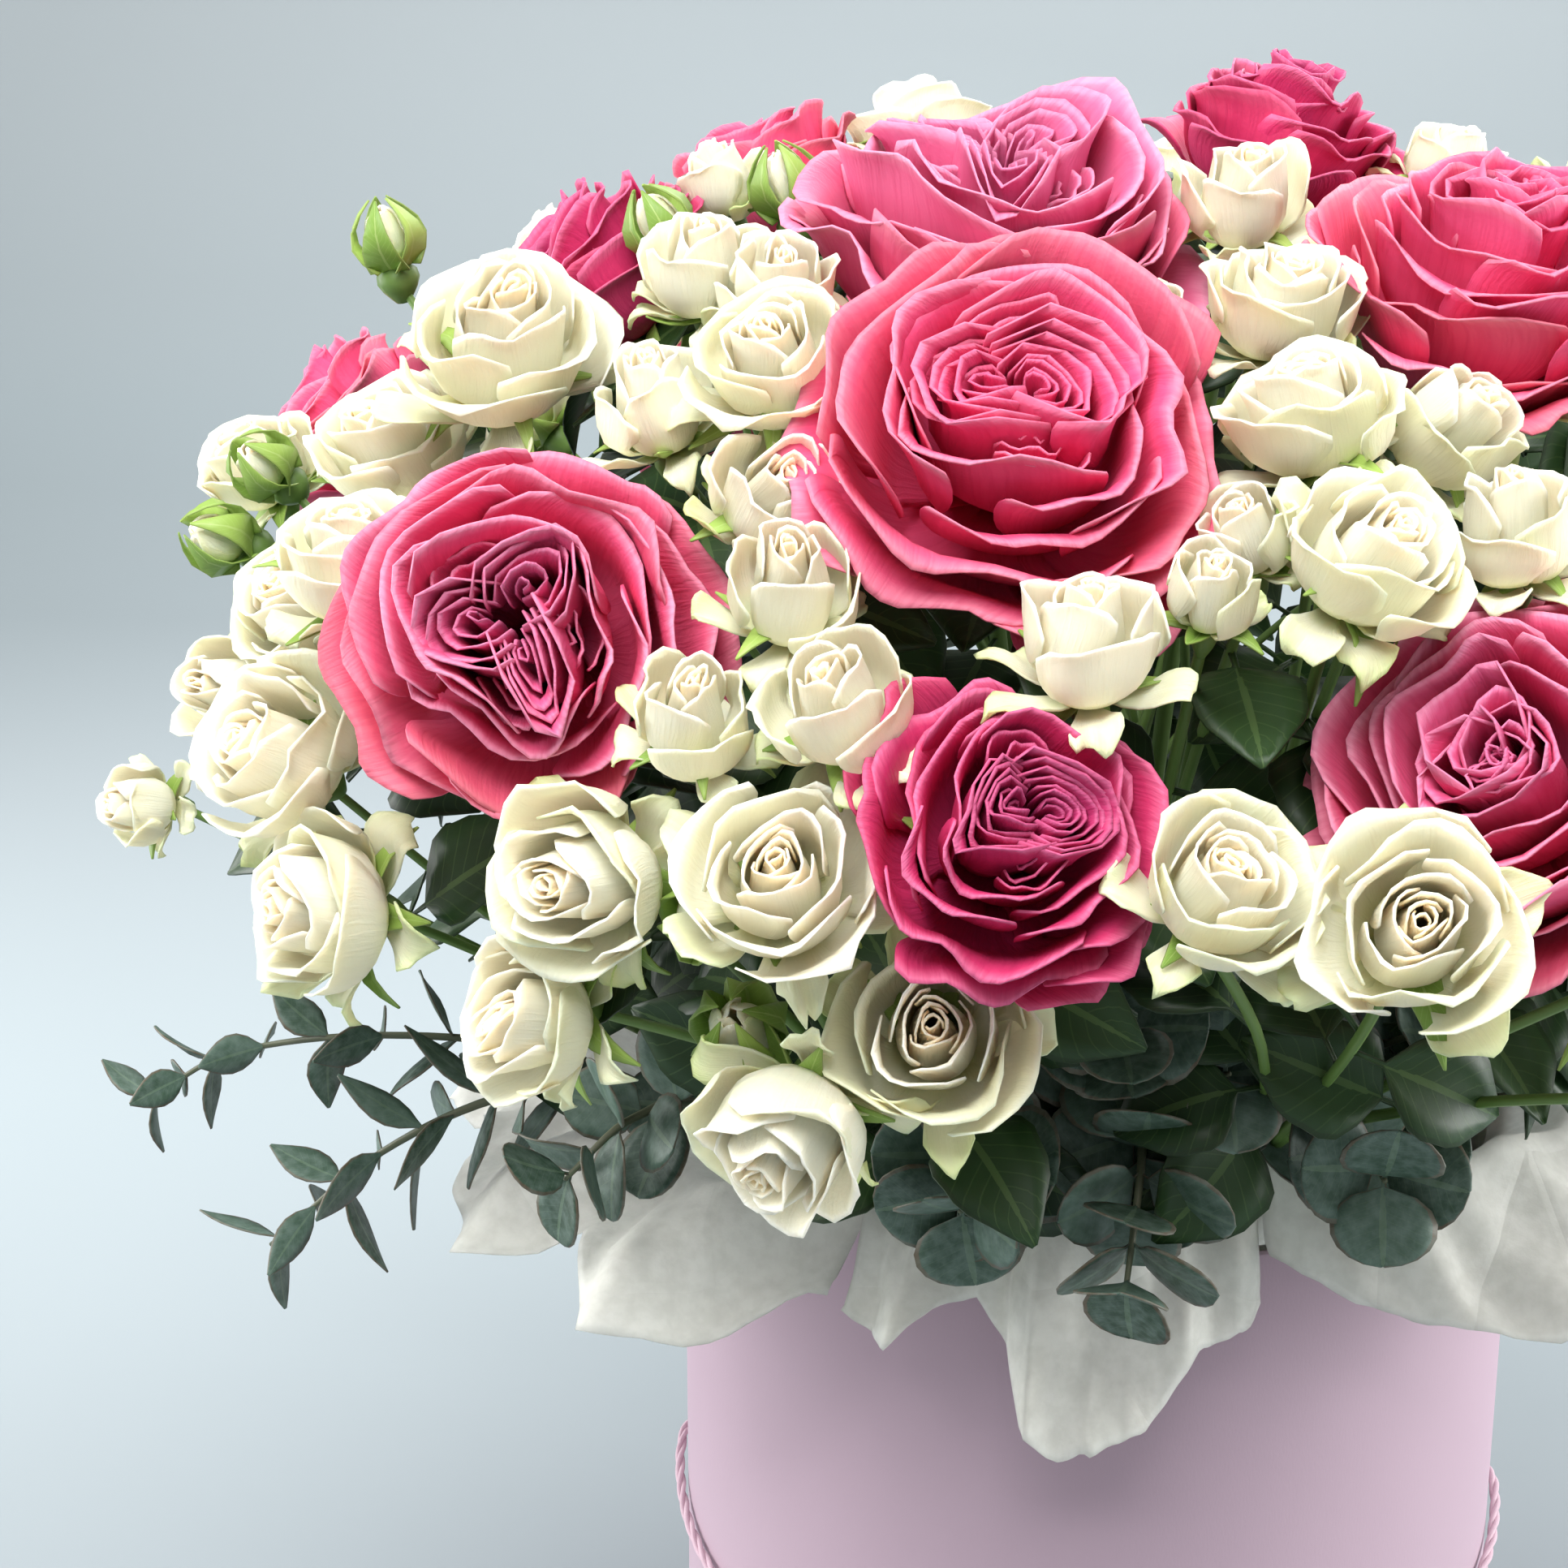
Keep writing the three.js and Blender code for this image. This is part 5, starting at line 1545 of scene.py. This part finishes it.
@dataclass
class TissueCollar:
    """Four creased sheets that come up between liner and card and fold over the rim.

    Args:
        finishes: All finishes.
        rise: Height of the fold where it lies on the rim.
        across: Faces between two stations of the free edge.
        along: Faces from foot to free edge.
        foot: Height of the sheets' foot.
        pocket: Radius of the gap between liner and card that the foot stands in.
        over: Radius just outside the card wall.
        many: From this number of stations on, half as many faces lie between two.
    """

    finishes: Finishes
    rise: float = 244.5
    across: int = 12
    along: int = 30
    foot: float = 214
    pocket: float = 115
    over: float = 127
    many: int = 9

    def build(self) -> None:
        """Makes the four sheets."""
        for number, name in enumerate(SHEETS):
            self._sheet(name, number)

    def _run(self, name: str, azimuth: Array, share: Array, v: Array) -> tuple[Array, Array]:
        """Radius and height over the grid before the creases.

        Args:
            name: The sheet.
            azimuth: Azimuth of each corner.
            share: Place of each corner across the sheet, 0 to 1.
            v: Place of each corner from foot to free edge, 0 to 1.

        Returns:
            Radius and height of each corner in millimetres.
        """
        _, lift, edge = SHEETS[name]
        spot = share * (len(edge) - 1)
        far = np.interp(spot, range(len(edge)), [e[0] for e in edge])
        low = np.interp(spot, range(len(edge)), [e[1] for e in edge])
        ripple = 1.6 * np.sin(azimuth * 0.32)
        r, z = np.zeros_like(far), np.zeros_like(far)
        marks = [(at, radius + r, height + z) for at, radius, height in (
            (0.0, self.pocket, self.foot),
            (0.2, self.pocket + 2, self.rise - 6.4),
            (0.32, self.over + 0.5, self.rise + 0.3 * ripple),
            (0.55, self.over + 0.42 * (far - self.over), self.rise + lift + 2 * ripple),
            (1.0, far, low + ripple))]
        for (start, r0, z0), (end, r1, z1) in zip(marks, marks[1:]):
            inside = (v >= start) & (v <= end)
            t = (v[inside] - start) / (end - start)
            t = t * t * (3 - 2 * t) * 0.3 + t * 0.7
            r[inside] = r0[inside] * (1 - t) + r1[inside] * t
            z[inside] = z0[inside] * (1 - t) + z1[inside] * t
        return r, z

    def _place(self, name: str, number: int, grid: Grid) -> Array:
        """Sets out one sheet over its grid, with sharp creases that grow towards its free edge.

        Args:
            name: The sheet.
            number: Its number, which shifts its creases.
            grid: Its grid.

        Returns:
            Its corners in millimetres.
        """
        span = SHEETS[name][0]
        share = 0.5 * (grid.u + 1)
        azimuth = span[0] + share * (span[1] - span[0])
        r, z = self._run(name, azimuth, share, grid.v)
        free = np.clip((grid.v - 0.36) / 0.4, 0, 1)
        fan = zigzag(azimuth * 0.075 + 0.37 * number + 0.22 * np.sin(azimuth * 0.07))
        skew = zigzag(azimuth * 0.05 + 1.7 * grid.v + 0.2 * number)
        cross = zigzag(-azimuth * 0.11 + 2.3 * grid.v + 0.6 * number)
        fine = zigzag(azimuth * 0.31 + 3.1 * grid.v * np.sin(azimuth * 0.05)) * 0.5
        z = z + free * (3.2 * fan + 2.6 * skew + 1.2 * cross + 0.5 * fine)
        r = r + free * (1.6 * skew - 2.2 * fan + 1.0 * cross)
        a = np.radians(azimuth)
        return np.stack([np.sin(a) * r, -np.cos(a) * r, z], axis=1)

    def _sheet(self, name: str, number: int) -> None:
        """Makes one sheet and fixes it to the box."""
        stations = len(SHEETS[name][2])
        grid = Grid.of(self.across * (stations - 1) // (2 if stations >= self.many else 1), self.along)
        points = self._place(name, number, grid)
        mesh = PieceMesh(f"{name}_paper")
        mesh.add(points, grid.faces, np.stack([grid.u * 0.5 + 0.5, grid.v], axis=1),
                 np.tile([0.5, 0.5], (len(points), 1)))
        piece = hand_in(mesh.build(self.finishes.tissue, 0.3), "tissue_paper", name)


# Levels along the axis of the green swelling below a bloom, in millimetres, and its width at each as
# a share of the greatest.
HIP_LEVELS = np.array([-9, -7.5, -5.5, -3, -0.6, 1.5])
HIP_WIDTHS = np.array([0.35, 0.55, 0.8, 1.0, 0.95, 0.6])


def add_hip(mesh: PieceMesh, bloom: Bloom, share: float) -> None:
    """Adds the green swelling below a bloom.

    Args:
        mesh: The piece that it is added to.
        bloom: The bloom above it.
        share: Its radius in bloom radii.
    """
    widths = HIP_WIDTHS * max(3.0, share * bloom.radius)
    add_tube(mesh, bloom.base + np.outer(HIP_LEVELS, bloom.way), widths, 10, 0.5)


def add_sepals(mesh: PieceMesh, bloom: Bloom, draw: np.random.Generator, reach: float) -> None:
    """Adds the five sepals of a bloom.

    Args:
        mesh: The piece that they are added to.
        bloom: The bloom that they carry.
        draw: The random draw.
        reach: Their length in bloom radii.
    """
    axes = bloom.axes
    sepals = 5
    for k in range(sepals):
        turn = FULL_TURN * (k + draw.uniform(-0.1, 0.1)) / sepals
        out = axes @ np.array([math.cos(turn), math.sin(turn), 0])
        if bloom.kind is BloomKind.BUD:
            foot = bloom.base + out * bloom.radius * 0.35 + bloom.way * bloom.radius * 0.1
            tip = bloom.base + out * bloom.radius * 0.3 + bloom.way * bloom.radius * 2.35
            Leaf(LeafKind.SEPAL, foot, tip, bloom.radius * 1.35, -out, -0.3, -0.25,
                 draw.uniform()).add_to(mesh)
        else:
            foot = bloom.base + out * 2.5
            drop = draw.uniform(-0.55, 0.45)
            far = bloom.radius * reach * draw.uniform(0.8, 1.2)
            tip = bloom.base + out * far + bloom.way * bloom.radius * drop
            Leaf(LeafKind.SEPAL, foot, tip, max(6.0, bloom.radius * 0.42), bloom.way,
                 draw.uniform(-0.15, 0.3), draw.uniform(0.1, 0.6), draw.uniform(),
                 draw.uniform(-0.4, 0.5)).add_to(mesh)


# How far below its bloom's foot a stem ends, inside the hip.
SEAT = 3


def rose_line(bloom: Bloom) -> Array:
    """The centre line of a garden rose's stem, from the foam to the bloom."""
    seat = bloom.base - SEAT * bloom.way
    ray = seat - 30 * bloom.way - DOME.aim
    reach = float(np.linalg.norm(ray))
    ray = unit(ray)
    bend = (DOME.aim + ray * reach * 0.93) * 0.88 + seat * 0.12
    return smooth_line([DOME.aim + ray * DOME.stem_end, DOME.aim + ray * max(122, reach * 0.7), bend,
                        seat], 7)


def spray_lines(own: list[Bloom]) -> list[Array]:
    """The centre lines of a spray: its main stem first, then a twig for each of its blooms."""
    ray = np.mean([b.base for b in own], axis=0) - DOME.aim
    shares = np.linspace(DOME.stem_end / float(np.linalg.norm(ray)), 0.66, 9)
    lines = [DOME.aim + np.outer(shares, ray)]
    for k, bloom in enumerate(own):
        fork = DOME.aim + ray * (0.52 + 0.12 * k / len(own))
        seat = bloom.base - SEAT * bloom.way
        ahead = fork + unit(ray) * float((seat - fork) @ unit(ray))
        lines.append(smooth_line([fork, 0.45 * fork + 0.43 * seat + 0.12 * ahead, seat], 6))
    return lines


@dataclass
class FillingLeaves:
    """The leaves between the flowers, each on the stem nearest to its place.

    Args:
        blooms: All blooms.
        count: How many places for leaves are tried in the dome.
        skirt: How many more are tried below it, above the rim.
        crown: How many more are tried at the back of its crown, where the stems stand far apart.
        depth: How deep in the dome the leaves' tips lie, as radius factors.
        low_depth: The same for the leaves below it.
        least: Shortest leaf in millimetres.
        most: Longest single leaf with its stalk.
        far: Longest leaf of five blades.
        below: Level on the dome, as the sine of the height angle, under which the low leaves hang.
        core: Radius and height of the space over the foam that stays free of leaves.
        heart: Height on the axis that the leaves face away from.
        leaves: The leaves of each stem.
    """

    blooms: list[Bloom]
    count: int = 350
    skirt: int = 230
    crown: int = 90
    depth: tuple[float, float] = (0.62, 0.88)
    low_depth: tuple[float, float] = (0.54, 0.8)
    least: float = 38
    most: float = 62
    far: float = 108
    below: float = -0.05
    core: tuple[float, float] = (170, 270)
    heart: float = 230.0
    leaves: dict[str, list[Leaf]] = field(default_factory=dict)

    def __post_init__(self) -> None:
        """Shares the leaves out among the stems."""
        names: list[str] = []
        spots: list[Array] = []
        for name in [*ROSES, *SPRAYS]:
            own = [b for b in self.blooms if b.stem == name]
            lines = [rose_line(own[0])[8:]] if name in ROSES else [line[2:] for line in spray_lines(own)]
            for line in lines:
                names += [name] * len(line)
                spots += list(line)
        points = np.array(spots)
        draw = np.random.default_rng(77)
        levels = np.concatenate([np.linspace(-0.12, 0.96, self.count),
                                 np.linspace(-0.62, -0.1, self.skirt),
                                 np.linspace(0.86, 0.998, self.crown)])
        for k, level in enumerate(levels):
            azimuth = math.degrees(k * GOLDEN_TURN) % 360
            reach = draw.uniform(*(self.depth if level > self.below else self.low_depth))
            place = DOME.point(azimuth, math.degrees(math.asin(level)), reach)
            place = place + draw.normal(0, 5, 3)
            gaps = np.linalg.norm(points - place, axis=1)
            nearest = int(np.argmin(gaps))
            gap = float(gaps[nearest])
            crown = k >= self.count + self.skirt
            if gap > (self.far if crown or level < self.below else self.most):
                continue
            if crown and place[1] < 0:
                continue
            foot = points[nearest]
            own = self.leaves.setdefault(names[nearest], [])
            tip = foot + (place - foot) / gap * max(gap, self.least * draw.uniform(0.9, 1.2))
            outward = unit(place - self.heart * UP) + draw.normal(0, 0.25, 3)
            if math.hypot(tip[0], tip[1]) < self.core[0] and tip[2] < self.core[1]:
                continue
            if gap > self.most:
                own += self._five_blades(foot, place, outward, draw)
            else:
                own.append(Leaf(LeafKind.ROSE, foot, tip, draw.uniform(24, 31), outward,
                                draw.uniform(0.02, 0.14), draw.uniform(0.1, 0.35), draw.uniform()))

    def _five_blades(self, foot: Array, tip: Array, outward: Array, draw: np.random.Generator
                     ) -> list[Leaf]:
        """A leaf of two pairs of blades and one at the end, on a long stalk.

        Args:
            foot: Where its stalk starts.
            tip: Where its last blade ends.
            outward: Roughly the way its upper faces look.
            draw: The random draw.

        Returns:
            The stalk and the five blades.
        """
        spread = 34
        span = tip - foot
        side = unit(np.cross(span, outward)) * spread
        blades = [Leaf(LeafKind.WILLOW, foot, foot + 0.8 * span, 2.0, outward, 0.02)]
        ends = [(0.66, tip)]
        ends += [(share, foot + (share + 0.2) * span + way * side)
                 for share in (0.46, 0.7) for way in (-1, 1)]
        for share, end in ends:
            blades.append(Leaf(LeafKind.ROSE, foot + share * span, end, draw.uniform(20, 25), outward,
                               draw.uniform(0.02, 0.12), draw.uniform(0.1, 0.35), draw.uniform()))
        return blades

    def add_to(self, mesh: PieceMesh, name: str) -> None:
        """Adds one stem's share of the leaves to its piece."""
        for leaf in self.leaves.get(name, []):
            leaf.add_to(mesh)


@dataclass
class RoseStems:
    """The garden roses with their stems, calyxes and leaves."""

    finishes: Finishes
    blooms: list[Bloom]
    filling: FillingLeaves
    thickness: float = 2.6

    def build(self) -> None:
        """Makes petals and stem of each rose."""
        for number, bloom in enumerate(b for b in self.blooms if b.kind is BloomKind.GARDEN):
            unseen = (Pink.ROSE if number % 2 else Pink.LILAC, 1 + number % 3)
            pink, hearts = LOOKS.get(bloom.stem, unseen)
            petals = PieceMesh(f"{bloom.stem}_petals")
            RoseHead(bloom, hearts).add_to(petals)
            hand_in(petals.build(getattr(self.finishes, pink.value), 0.5), "pink_petals", bloom.stem)
            self._stem(bloom)

    def _stem(self, bloom: Bloom) -> None:
        """Makes the green parts of one rose."""
        draw = np.random.default_rng(40 + bloom.index)
        line = rose_line(bloom)
        green = PieceMesh(f"{bloom.stem}_stalk")
        add_tube(green, line, np.linspace(self.thickness, 1.9, len(line)), 8, draw.uniform())
        add_hip(green, bloom, 0.2)
        stalk = green.build(self.finishes.stalk)
        blades = PieceMesh(f"{bloom.stem}_blades")
        for azimuth, elevation, factor, width in LEAVES.get(bloom.stem, []):
            tip = DOME.point(azimuth, elevation, factor)
            spots = line[7:-6]
            foot = spots[np.argmin(np.linalg.norm(spots - tip, axis=1))]
            Leaf(LeafKind.ROSE, foot, tip, width * 1.15, UP, 0.1, 0.28, draw.uniform()).add_to(blades)
        self.filling.add_to(blades, bloom.stem)
        calyx = PieceMesh(f"{bloom.stem}_calyx")
        add_sepals(calyx, bloom, draw, 0.7)
        parts = [stalk, calyx.build(self.finishes.sepal, 0.5)]
        if blades.count:
            parts.append(blades.build(self.finishes.rose_leaf, 0.5))
        hand_in(joined(parts), "rose_green", f"{bloom.stem}_stem")


@dataclass
class SpraySets:
    """The spray roses: each a forked stem with its own blooms and buds."""

    finishes: Finishes
    blooms: list[Bloom]
    filling: FillingLeaves
    thickness: float = 2.2
    twig: float = 1.3

    def build(self) -> None:
        """Makes the petals and the green parts of each spray."""
        for name in SPRAYS:
            own = [b for b in self.blooms if b.stem == name]
            petals = PieceMesh(f"{name}_petals")
            for bloom in own:
                RoseHead(bloom).add_to(petals)
            hand_in(petals.build(self.finishes.white, 0.45), "white_petals", name)
            hand_in(self._greens(name, own), "rose_green", name)

    def _greens(self, name: str, own: list[Bloom]) -> bpy.types.Object:
        """Stem, twigs, hips, sepals and leaves of one spray."""
        draw = np.random.default_rng(sum(map(ord, name)) + 7 * len(own))
        green = PieceMesh(f"{name}_stalk")
        cups = PieceMesh(f"{name}_cups")
        main, *twigs = spray_lines(own)
        add_tube(green, main, np.linspace(self.thickness, 1.7, len(main)), 8, draw.uniform())
        for bloom, line in zip(own, twigs):
            add_tube(green, line, np.linspace(self.twig + 0.2, self.twig, len(line)), 6, draw.uniform())
            add_hip(green, bloom, 0.24 if bloom.kind is not BloomKind.BUD else 0.7)
            add_sepals(cups, bloom, draw, draw.uniform(0.85, 1.15))
        blades = PieceMesh(f"{name}_blades")
        self.filling.add_to(blades, name)
        parts = [green.build(self.finishes.stalk), cups.build(self.finishes.sepal, 0.45)]
        if blades.count:
            parts.append(blades.build(self.finishes.rose_leaf, 0.5))
        return joined(parts)


@dataclass(frozen=True)
class Shoot:
    """One shoot of a eucalyptus branch: its waypoints, leaf length, leaf width and leaf pairs."""

    route: tuple[tuple[float, float, float], ...]
    length: float
    width: float
    pairs: int


GUM: dict[str, tuple[Shoot, ...]] = {
    "eucalyptus_1": (Shoot(((-22, -150, 283), (-28, -172, 288), (-31, -184, 279)), 25, 25, 3),),
    "eucalyptus_2": (Shoot(((10, -138, 288), (12, -170, 290), (9, -192, 264)), 26, 22, 4),
                     Shoot(((3, -146, 304), (6, -174, 326)), 24, 24, 3),
                     Shoot(((22, -140, 298), (32, -170, 312)), 24, 23, 2)),
    "eucalyptus_3": (Shoot(((64, -122, 272), (68, -152, 286), (70, -172, 287)), 25, 24, 3),
                     Shoot(((66, -128, 300), (88, -150, 320)), 22, 22, 2),
                     Shoot(((44, -128, 298), (50, -156, 316)), 22, 22, 2)),
    "eucalyptus_4": (Shoot(((-128, -82, 266), (-160, -98, 268), (-196, -100, 250), (-232, -92, 216)),
                           30, 10, 5),
                     Shoot(((-150, -76, 272), (-200, -78, 276), (-250, -62, 262), (-278, -58, 244)),
                           22, 11, 4)),
    "eucalyptus_5": (Shoot(((-98, -112, 272), (-118, -138, 280), (-134, -152, 268)), 24, 18, 3),),
    "eucalyptus_6": (Shoot(((150, -40, 276), (196, -50, 284), (232, -58, 262)), 26, 22, 4),),
    "eucalyptus_7": (Shoot(((-40, 146, 276), (-58, 196, 284), (-70, 228, 258)), 26, 22, 4),),
}


@dataclass
class GumBranches:
    """The eucalyptus branches: stems with opposite leaf pairs, each pair turned from the last."""

    finishes: Finishes
    thickness: float = 2.0

    def build(self) -> None:
        """Makes the seven branches."""
        for name, shoots in GUM.items():
            hand_in(self._branch(name, shoots), "gum_leaves", name)

    def _branch(self, name: str, shoots: tuple[Shoot, ...]) -> bpy.types.Object:
        """Makes one branch."""
        draw = np.random.default_rng(sum(map(ord, name)))
        wood = PieceMesh(f"{name}_stalk")
        blades = PieceMesh(f"{name}_blades")
        first: list[Array] = []
        for shoot in shoots:
            way = [np.array(p, float) for p in shoot.route]
            if not first:
                start = DOME.aim + unit(way[0] - DOME.aim) * DOME.stem_end
                first = [start, *way]
            else:
                start = first[0] * 0.28 + first[1] * 0.72
            line = smooth_line([start, *way], 8)
            thick = self.thickness if shoot is shoots[0] else 1.4
            add_tube(wood, line, np.linspace(thick, 0.7, len(line)), 7, draw.uniform())
            self._leaves(blades, smooth_line(way, 12), shoot, draw)
        return joined([wood.build(self.finishes.gum_twig), blades.build(self.finishes.gum_leaf, 0.5)])

    def _leaves(self, mesh: PieceMesh, line: Array, shoot: Shoot, draw: np.random.Generator) -> None:
        """Adds the leaf pairs of one shoot, twice as close as in the solid."""
        broad_from = 14
        kind = LeafKind.SILVER_DOLLAR if shoot.width >= broad_from else LeafKind.WILLOW
        pairs = shoot.pairs * 2
        tangents, _, _ = carried_frames(line)
        for k in range(pairs):
            spot = int((0.08 + 0.9 * k / max(1, pairs - 1)) * (len(line) - 1))
            node, along = line[spot], tangents[spot]
            flat = unit(np.cross(along, UP))
            level = unit(np.cross(flat, along)) if k % 2 else flat
            size = 1 - 0.3 * k / pairs
            for sign in (-1, 1):
                way = unit(level * sign + along * draw.uniform(0.35, 0.7) + draw.normal(0, 0.12, 3))
                tip = node + way * shoot.length * size * draw.uniform(1.05, 1.25)
                up = along + 0.3 * UP + draw.normal(0, 0.15, 3)
                Leaf(kind, node, tip, shoot.width * size * draw.uniform(1.15, 1.4), up, 0.04,
                     draw.uniform(0.02, 0.18), draw.uniform(), draw.uniform(-0.2, 0.5)).add_to(mesh)


@dataclass(frozen=True)
class Softbox:
    """One soft light: its place, size and aim in metres, and its power in watts."""

    name: str
    at: tuple[float, float, float]
    size: float
    power: float
    aim: tuple[float, float, float]


SOFTBOXES: tuple[Softbox, ...] = (
    Softbox("top_softbox", (-0.2, -0.95, 1.72), 1.1, 41, (0, 0, 0.42)),
    Softbox("left_softbox", (-1.4, 0.1, 0.5), 0.9, 19, (0, 0, 0.15)),
    Softbox("right_softbox", (1.4, 0.1, 0.4), 0.9, 21, (0, 0, 0.1)),
    Softbox("back_softbox", (0.5, 1.1, 1.3), 1.0, 17, (0.2, 0.2, 0.1)),
)
# The floor's painted light and shade, from its front edge up to the top of the backdrop: darker at the front,
# lighter towards the back.
FLOOR_PAINTED_LIGHT: tuple[tuple[float, Colour], ...] = (
    (0.0, rgb(147, 155, 159)), (0.16, rgb(167, 177, 181)), (0.34, rgb(178, 187, 191)),
    (0.68, rgb(196, 207, 211)), (0.92, rgb(214, 222, 225)),
)


@dataclass
class Studio:
    """Floor, backdrop, soft lights and the camera.

    Args:
        camera_at: Place of the camera in metres.
        pitch: Degrees that it looks down.
        yaw: Degrees that it is turned to the left.
        lens: Focal length in millimetres.
        sensor: Width of its sensor in millimetres.
        sweep: Steps forward and up by which the floor turns into the backdrop, in metres.
        reach: Metres along floor and backdrop over which its painted light and shade run.
        room: Colour of the room's own light.
        room_strength: Strength of that light.
    """

    camera_at: tuple[float, float, float] = (0.0, -0.810, 0.567)
    pitch: float = 16.13
    yaw: float = 6.71
    lens: float = 65
    sensor: float = 36
    sweep: tuple[tuple[float, float], ...] = ((0.35, 0.05), (0.3, 0.17), (0.2, 0.33), (0.05, 0.6), (0, 2.4))
    reach: float = 3.2
    room: tuple[float, float, float, float] = (0.95, 0.98, 1.0, 1)
    room_strength: float = 0.42

    def camera(self) -> None:
        """Stands the camera where the photograph was taken from."""
        data = bpy.data.cameras.new("camera")
        data.lens = self.lens
        data.sensor_width = self.sensor
        data.clip_start = 0.01
        eye = bpy.data.objects.new("camera", data)
        eye.location = self.camera_at
        eye.rotation_euler = (math.radians(90 - self.pitch), 0, math.radians(self.yaw))
        bpy.context.scene.collection.objects.link(eye)
        bpy.context.scene.camera = eye

    def stage(self) -> None:
        """Lays the pale floor that sweeps up into the backdrop, with painted shade at its front."""
        bpy.ops.object.select_all(action="DESELECT")
        bpy.ops.mesh.primitive_plane_add(size=6, location=(0, -1.4, 0))
        floor = bpy.context.object
        floor.name = "floor_sweep"
        bpy.ops.object.transform_apply(location=True, rotation=True, scale=True)
        pick(floor)
        edit_selected(floor, MeshPart.EDGE,
                      lambda edge: all(floor.data.vertices[i].co.y > 1 for i in edge.vertices))
        for forward, up in self.sweep:
            bpy.ops.mesh.extrude_region_move(TRANSFORM_OT_translate={"value": (0, forward, up)})
        bpy.ops.object.mode_set(mode="OBJECT")
        bpy.ops.object.shade_smooth()
        shade = Shade("pale_floor")
        grain = shade.noise(shade.place(), 3, 2)
        at = shade.node("ShaderNodeSeparateXYZ", {"Vector": shade.place()})
        run = shade.maths("ADD", at.outputs["Y"], at.outputs["Z"])
        # Painted light and shade: the floor darkens towards its front and pales towards the backdrop.
        tone = shade.ramp(shade.maths("DIVIDE", run, self.reach), FLOOR_PAINTED_LIGHT)
        shade.paint(shade.mix(shade.times(grain, 0.06), tone, rgb(180, 188, 192)))
        shade.set(Roughness=0.8, Specular_IOR_Level=0.2)
        floor.data.materials.append(shade.material)

    def lights(self) -> None:
        """Hangs the softboxes and sets the room's own light."""
        for box in SOFTBOXES:
            data = bpy.data.lights.new(box.name, "AREA")
            data.shape = "SQUARE"
            data.size = box.size
            data.energy = box.power
            lamp = bpy.data.objects.new(box.name, data)
            lamp.location = box.at
            way = Vector(box.aim) - Vector(box.at)
            lamp.rotation_euler = way.to_track_quat("-Z", "Y").to_euler()
            bpy.context.scene.collection.objects.link(lamp)
        world = bpy.data.worlds.new("room")
        world.use_nodes = True
        background = world.node_tree.nodes["Background"]
        background.inputs["Color"].default_value = self.room
        background.inputs["Strength"].default_value = self.room_strength
        bpy.context.scene.world = world
        bpy.context.scene.view_settings.view_transform = "Standard"
        bpy.context.scene.view_settings.look = "None"


def main() -> None:
    """Builds the box in order."""
    logging.basicConfig(level=logging.INFO, format="%(message)s")
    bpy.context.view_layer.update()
    studio = Studio()
    studio.camera()
    finishes = Finishes.mixed()
    blooms = grow_blooms()
    CordHandle(finishes).build()
    HatBox(finishes).build()
    TissueCollar(finishes).build()
    filling = FillingLeaves(blooms)
    RoseStems(finishes, blooms, filling).build()
    SpraySets(finishes, blooms, filling).build()
    GumBranches(finishes).build()
    studio.stage()
    studio.lights()
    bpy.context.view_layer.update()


if __name__ == "__main__":
    main()
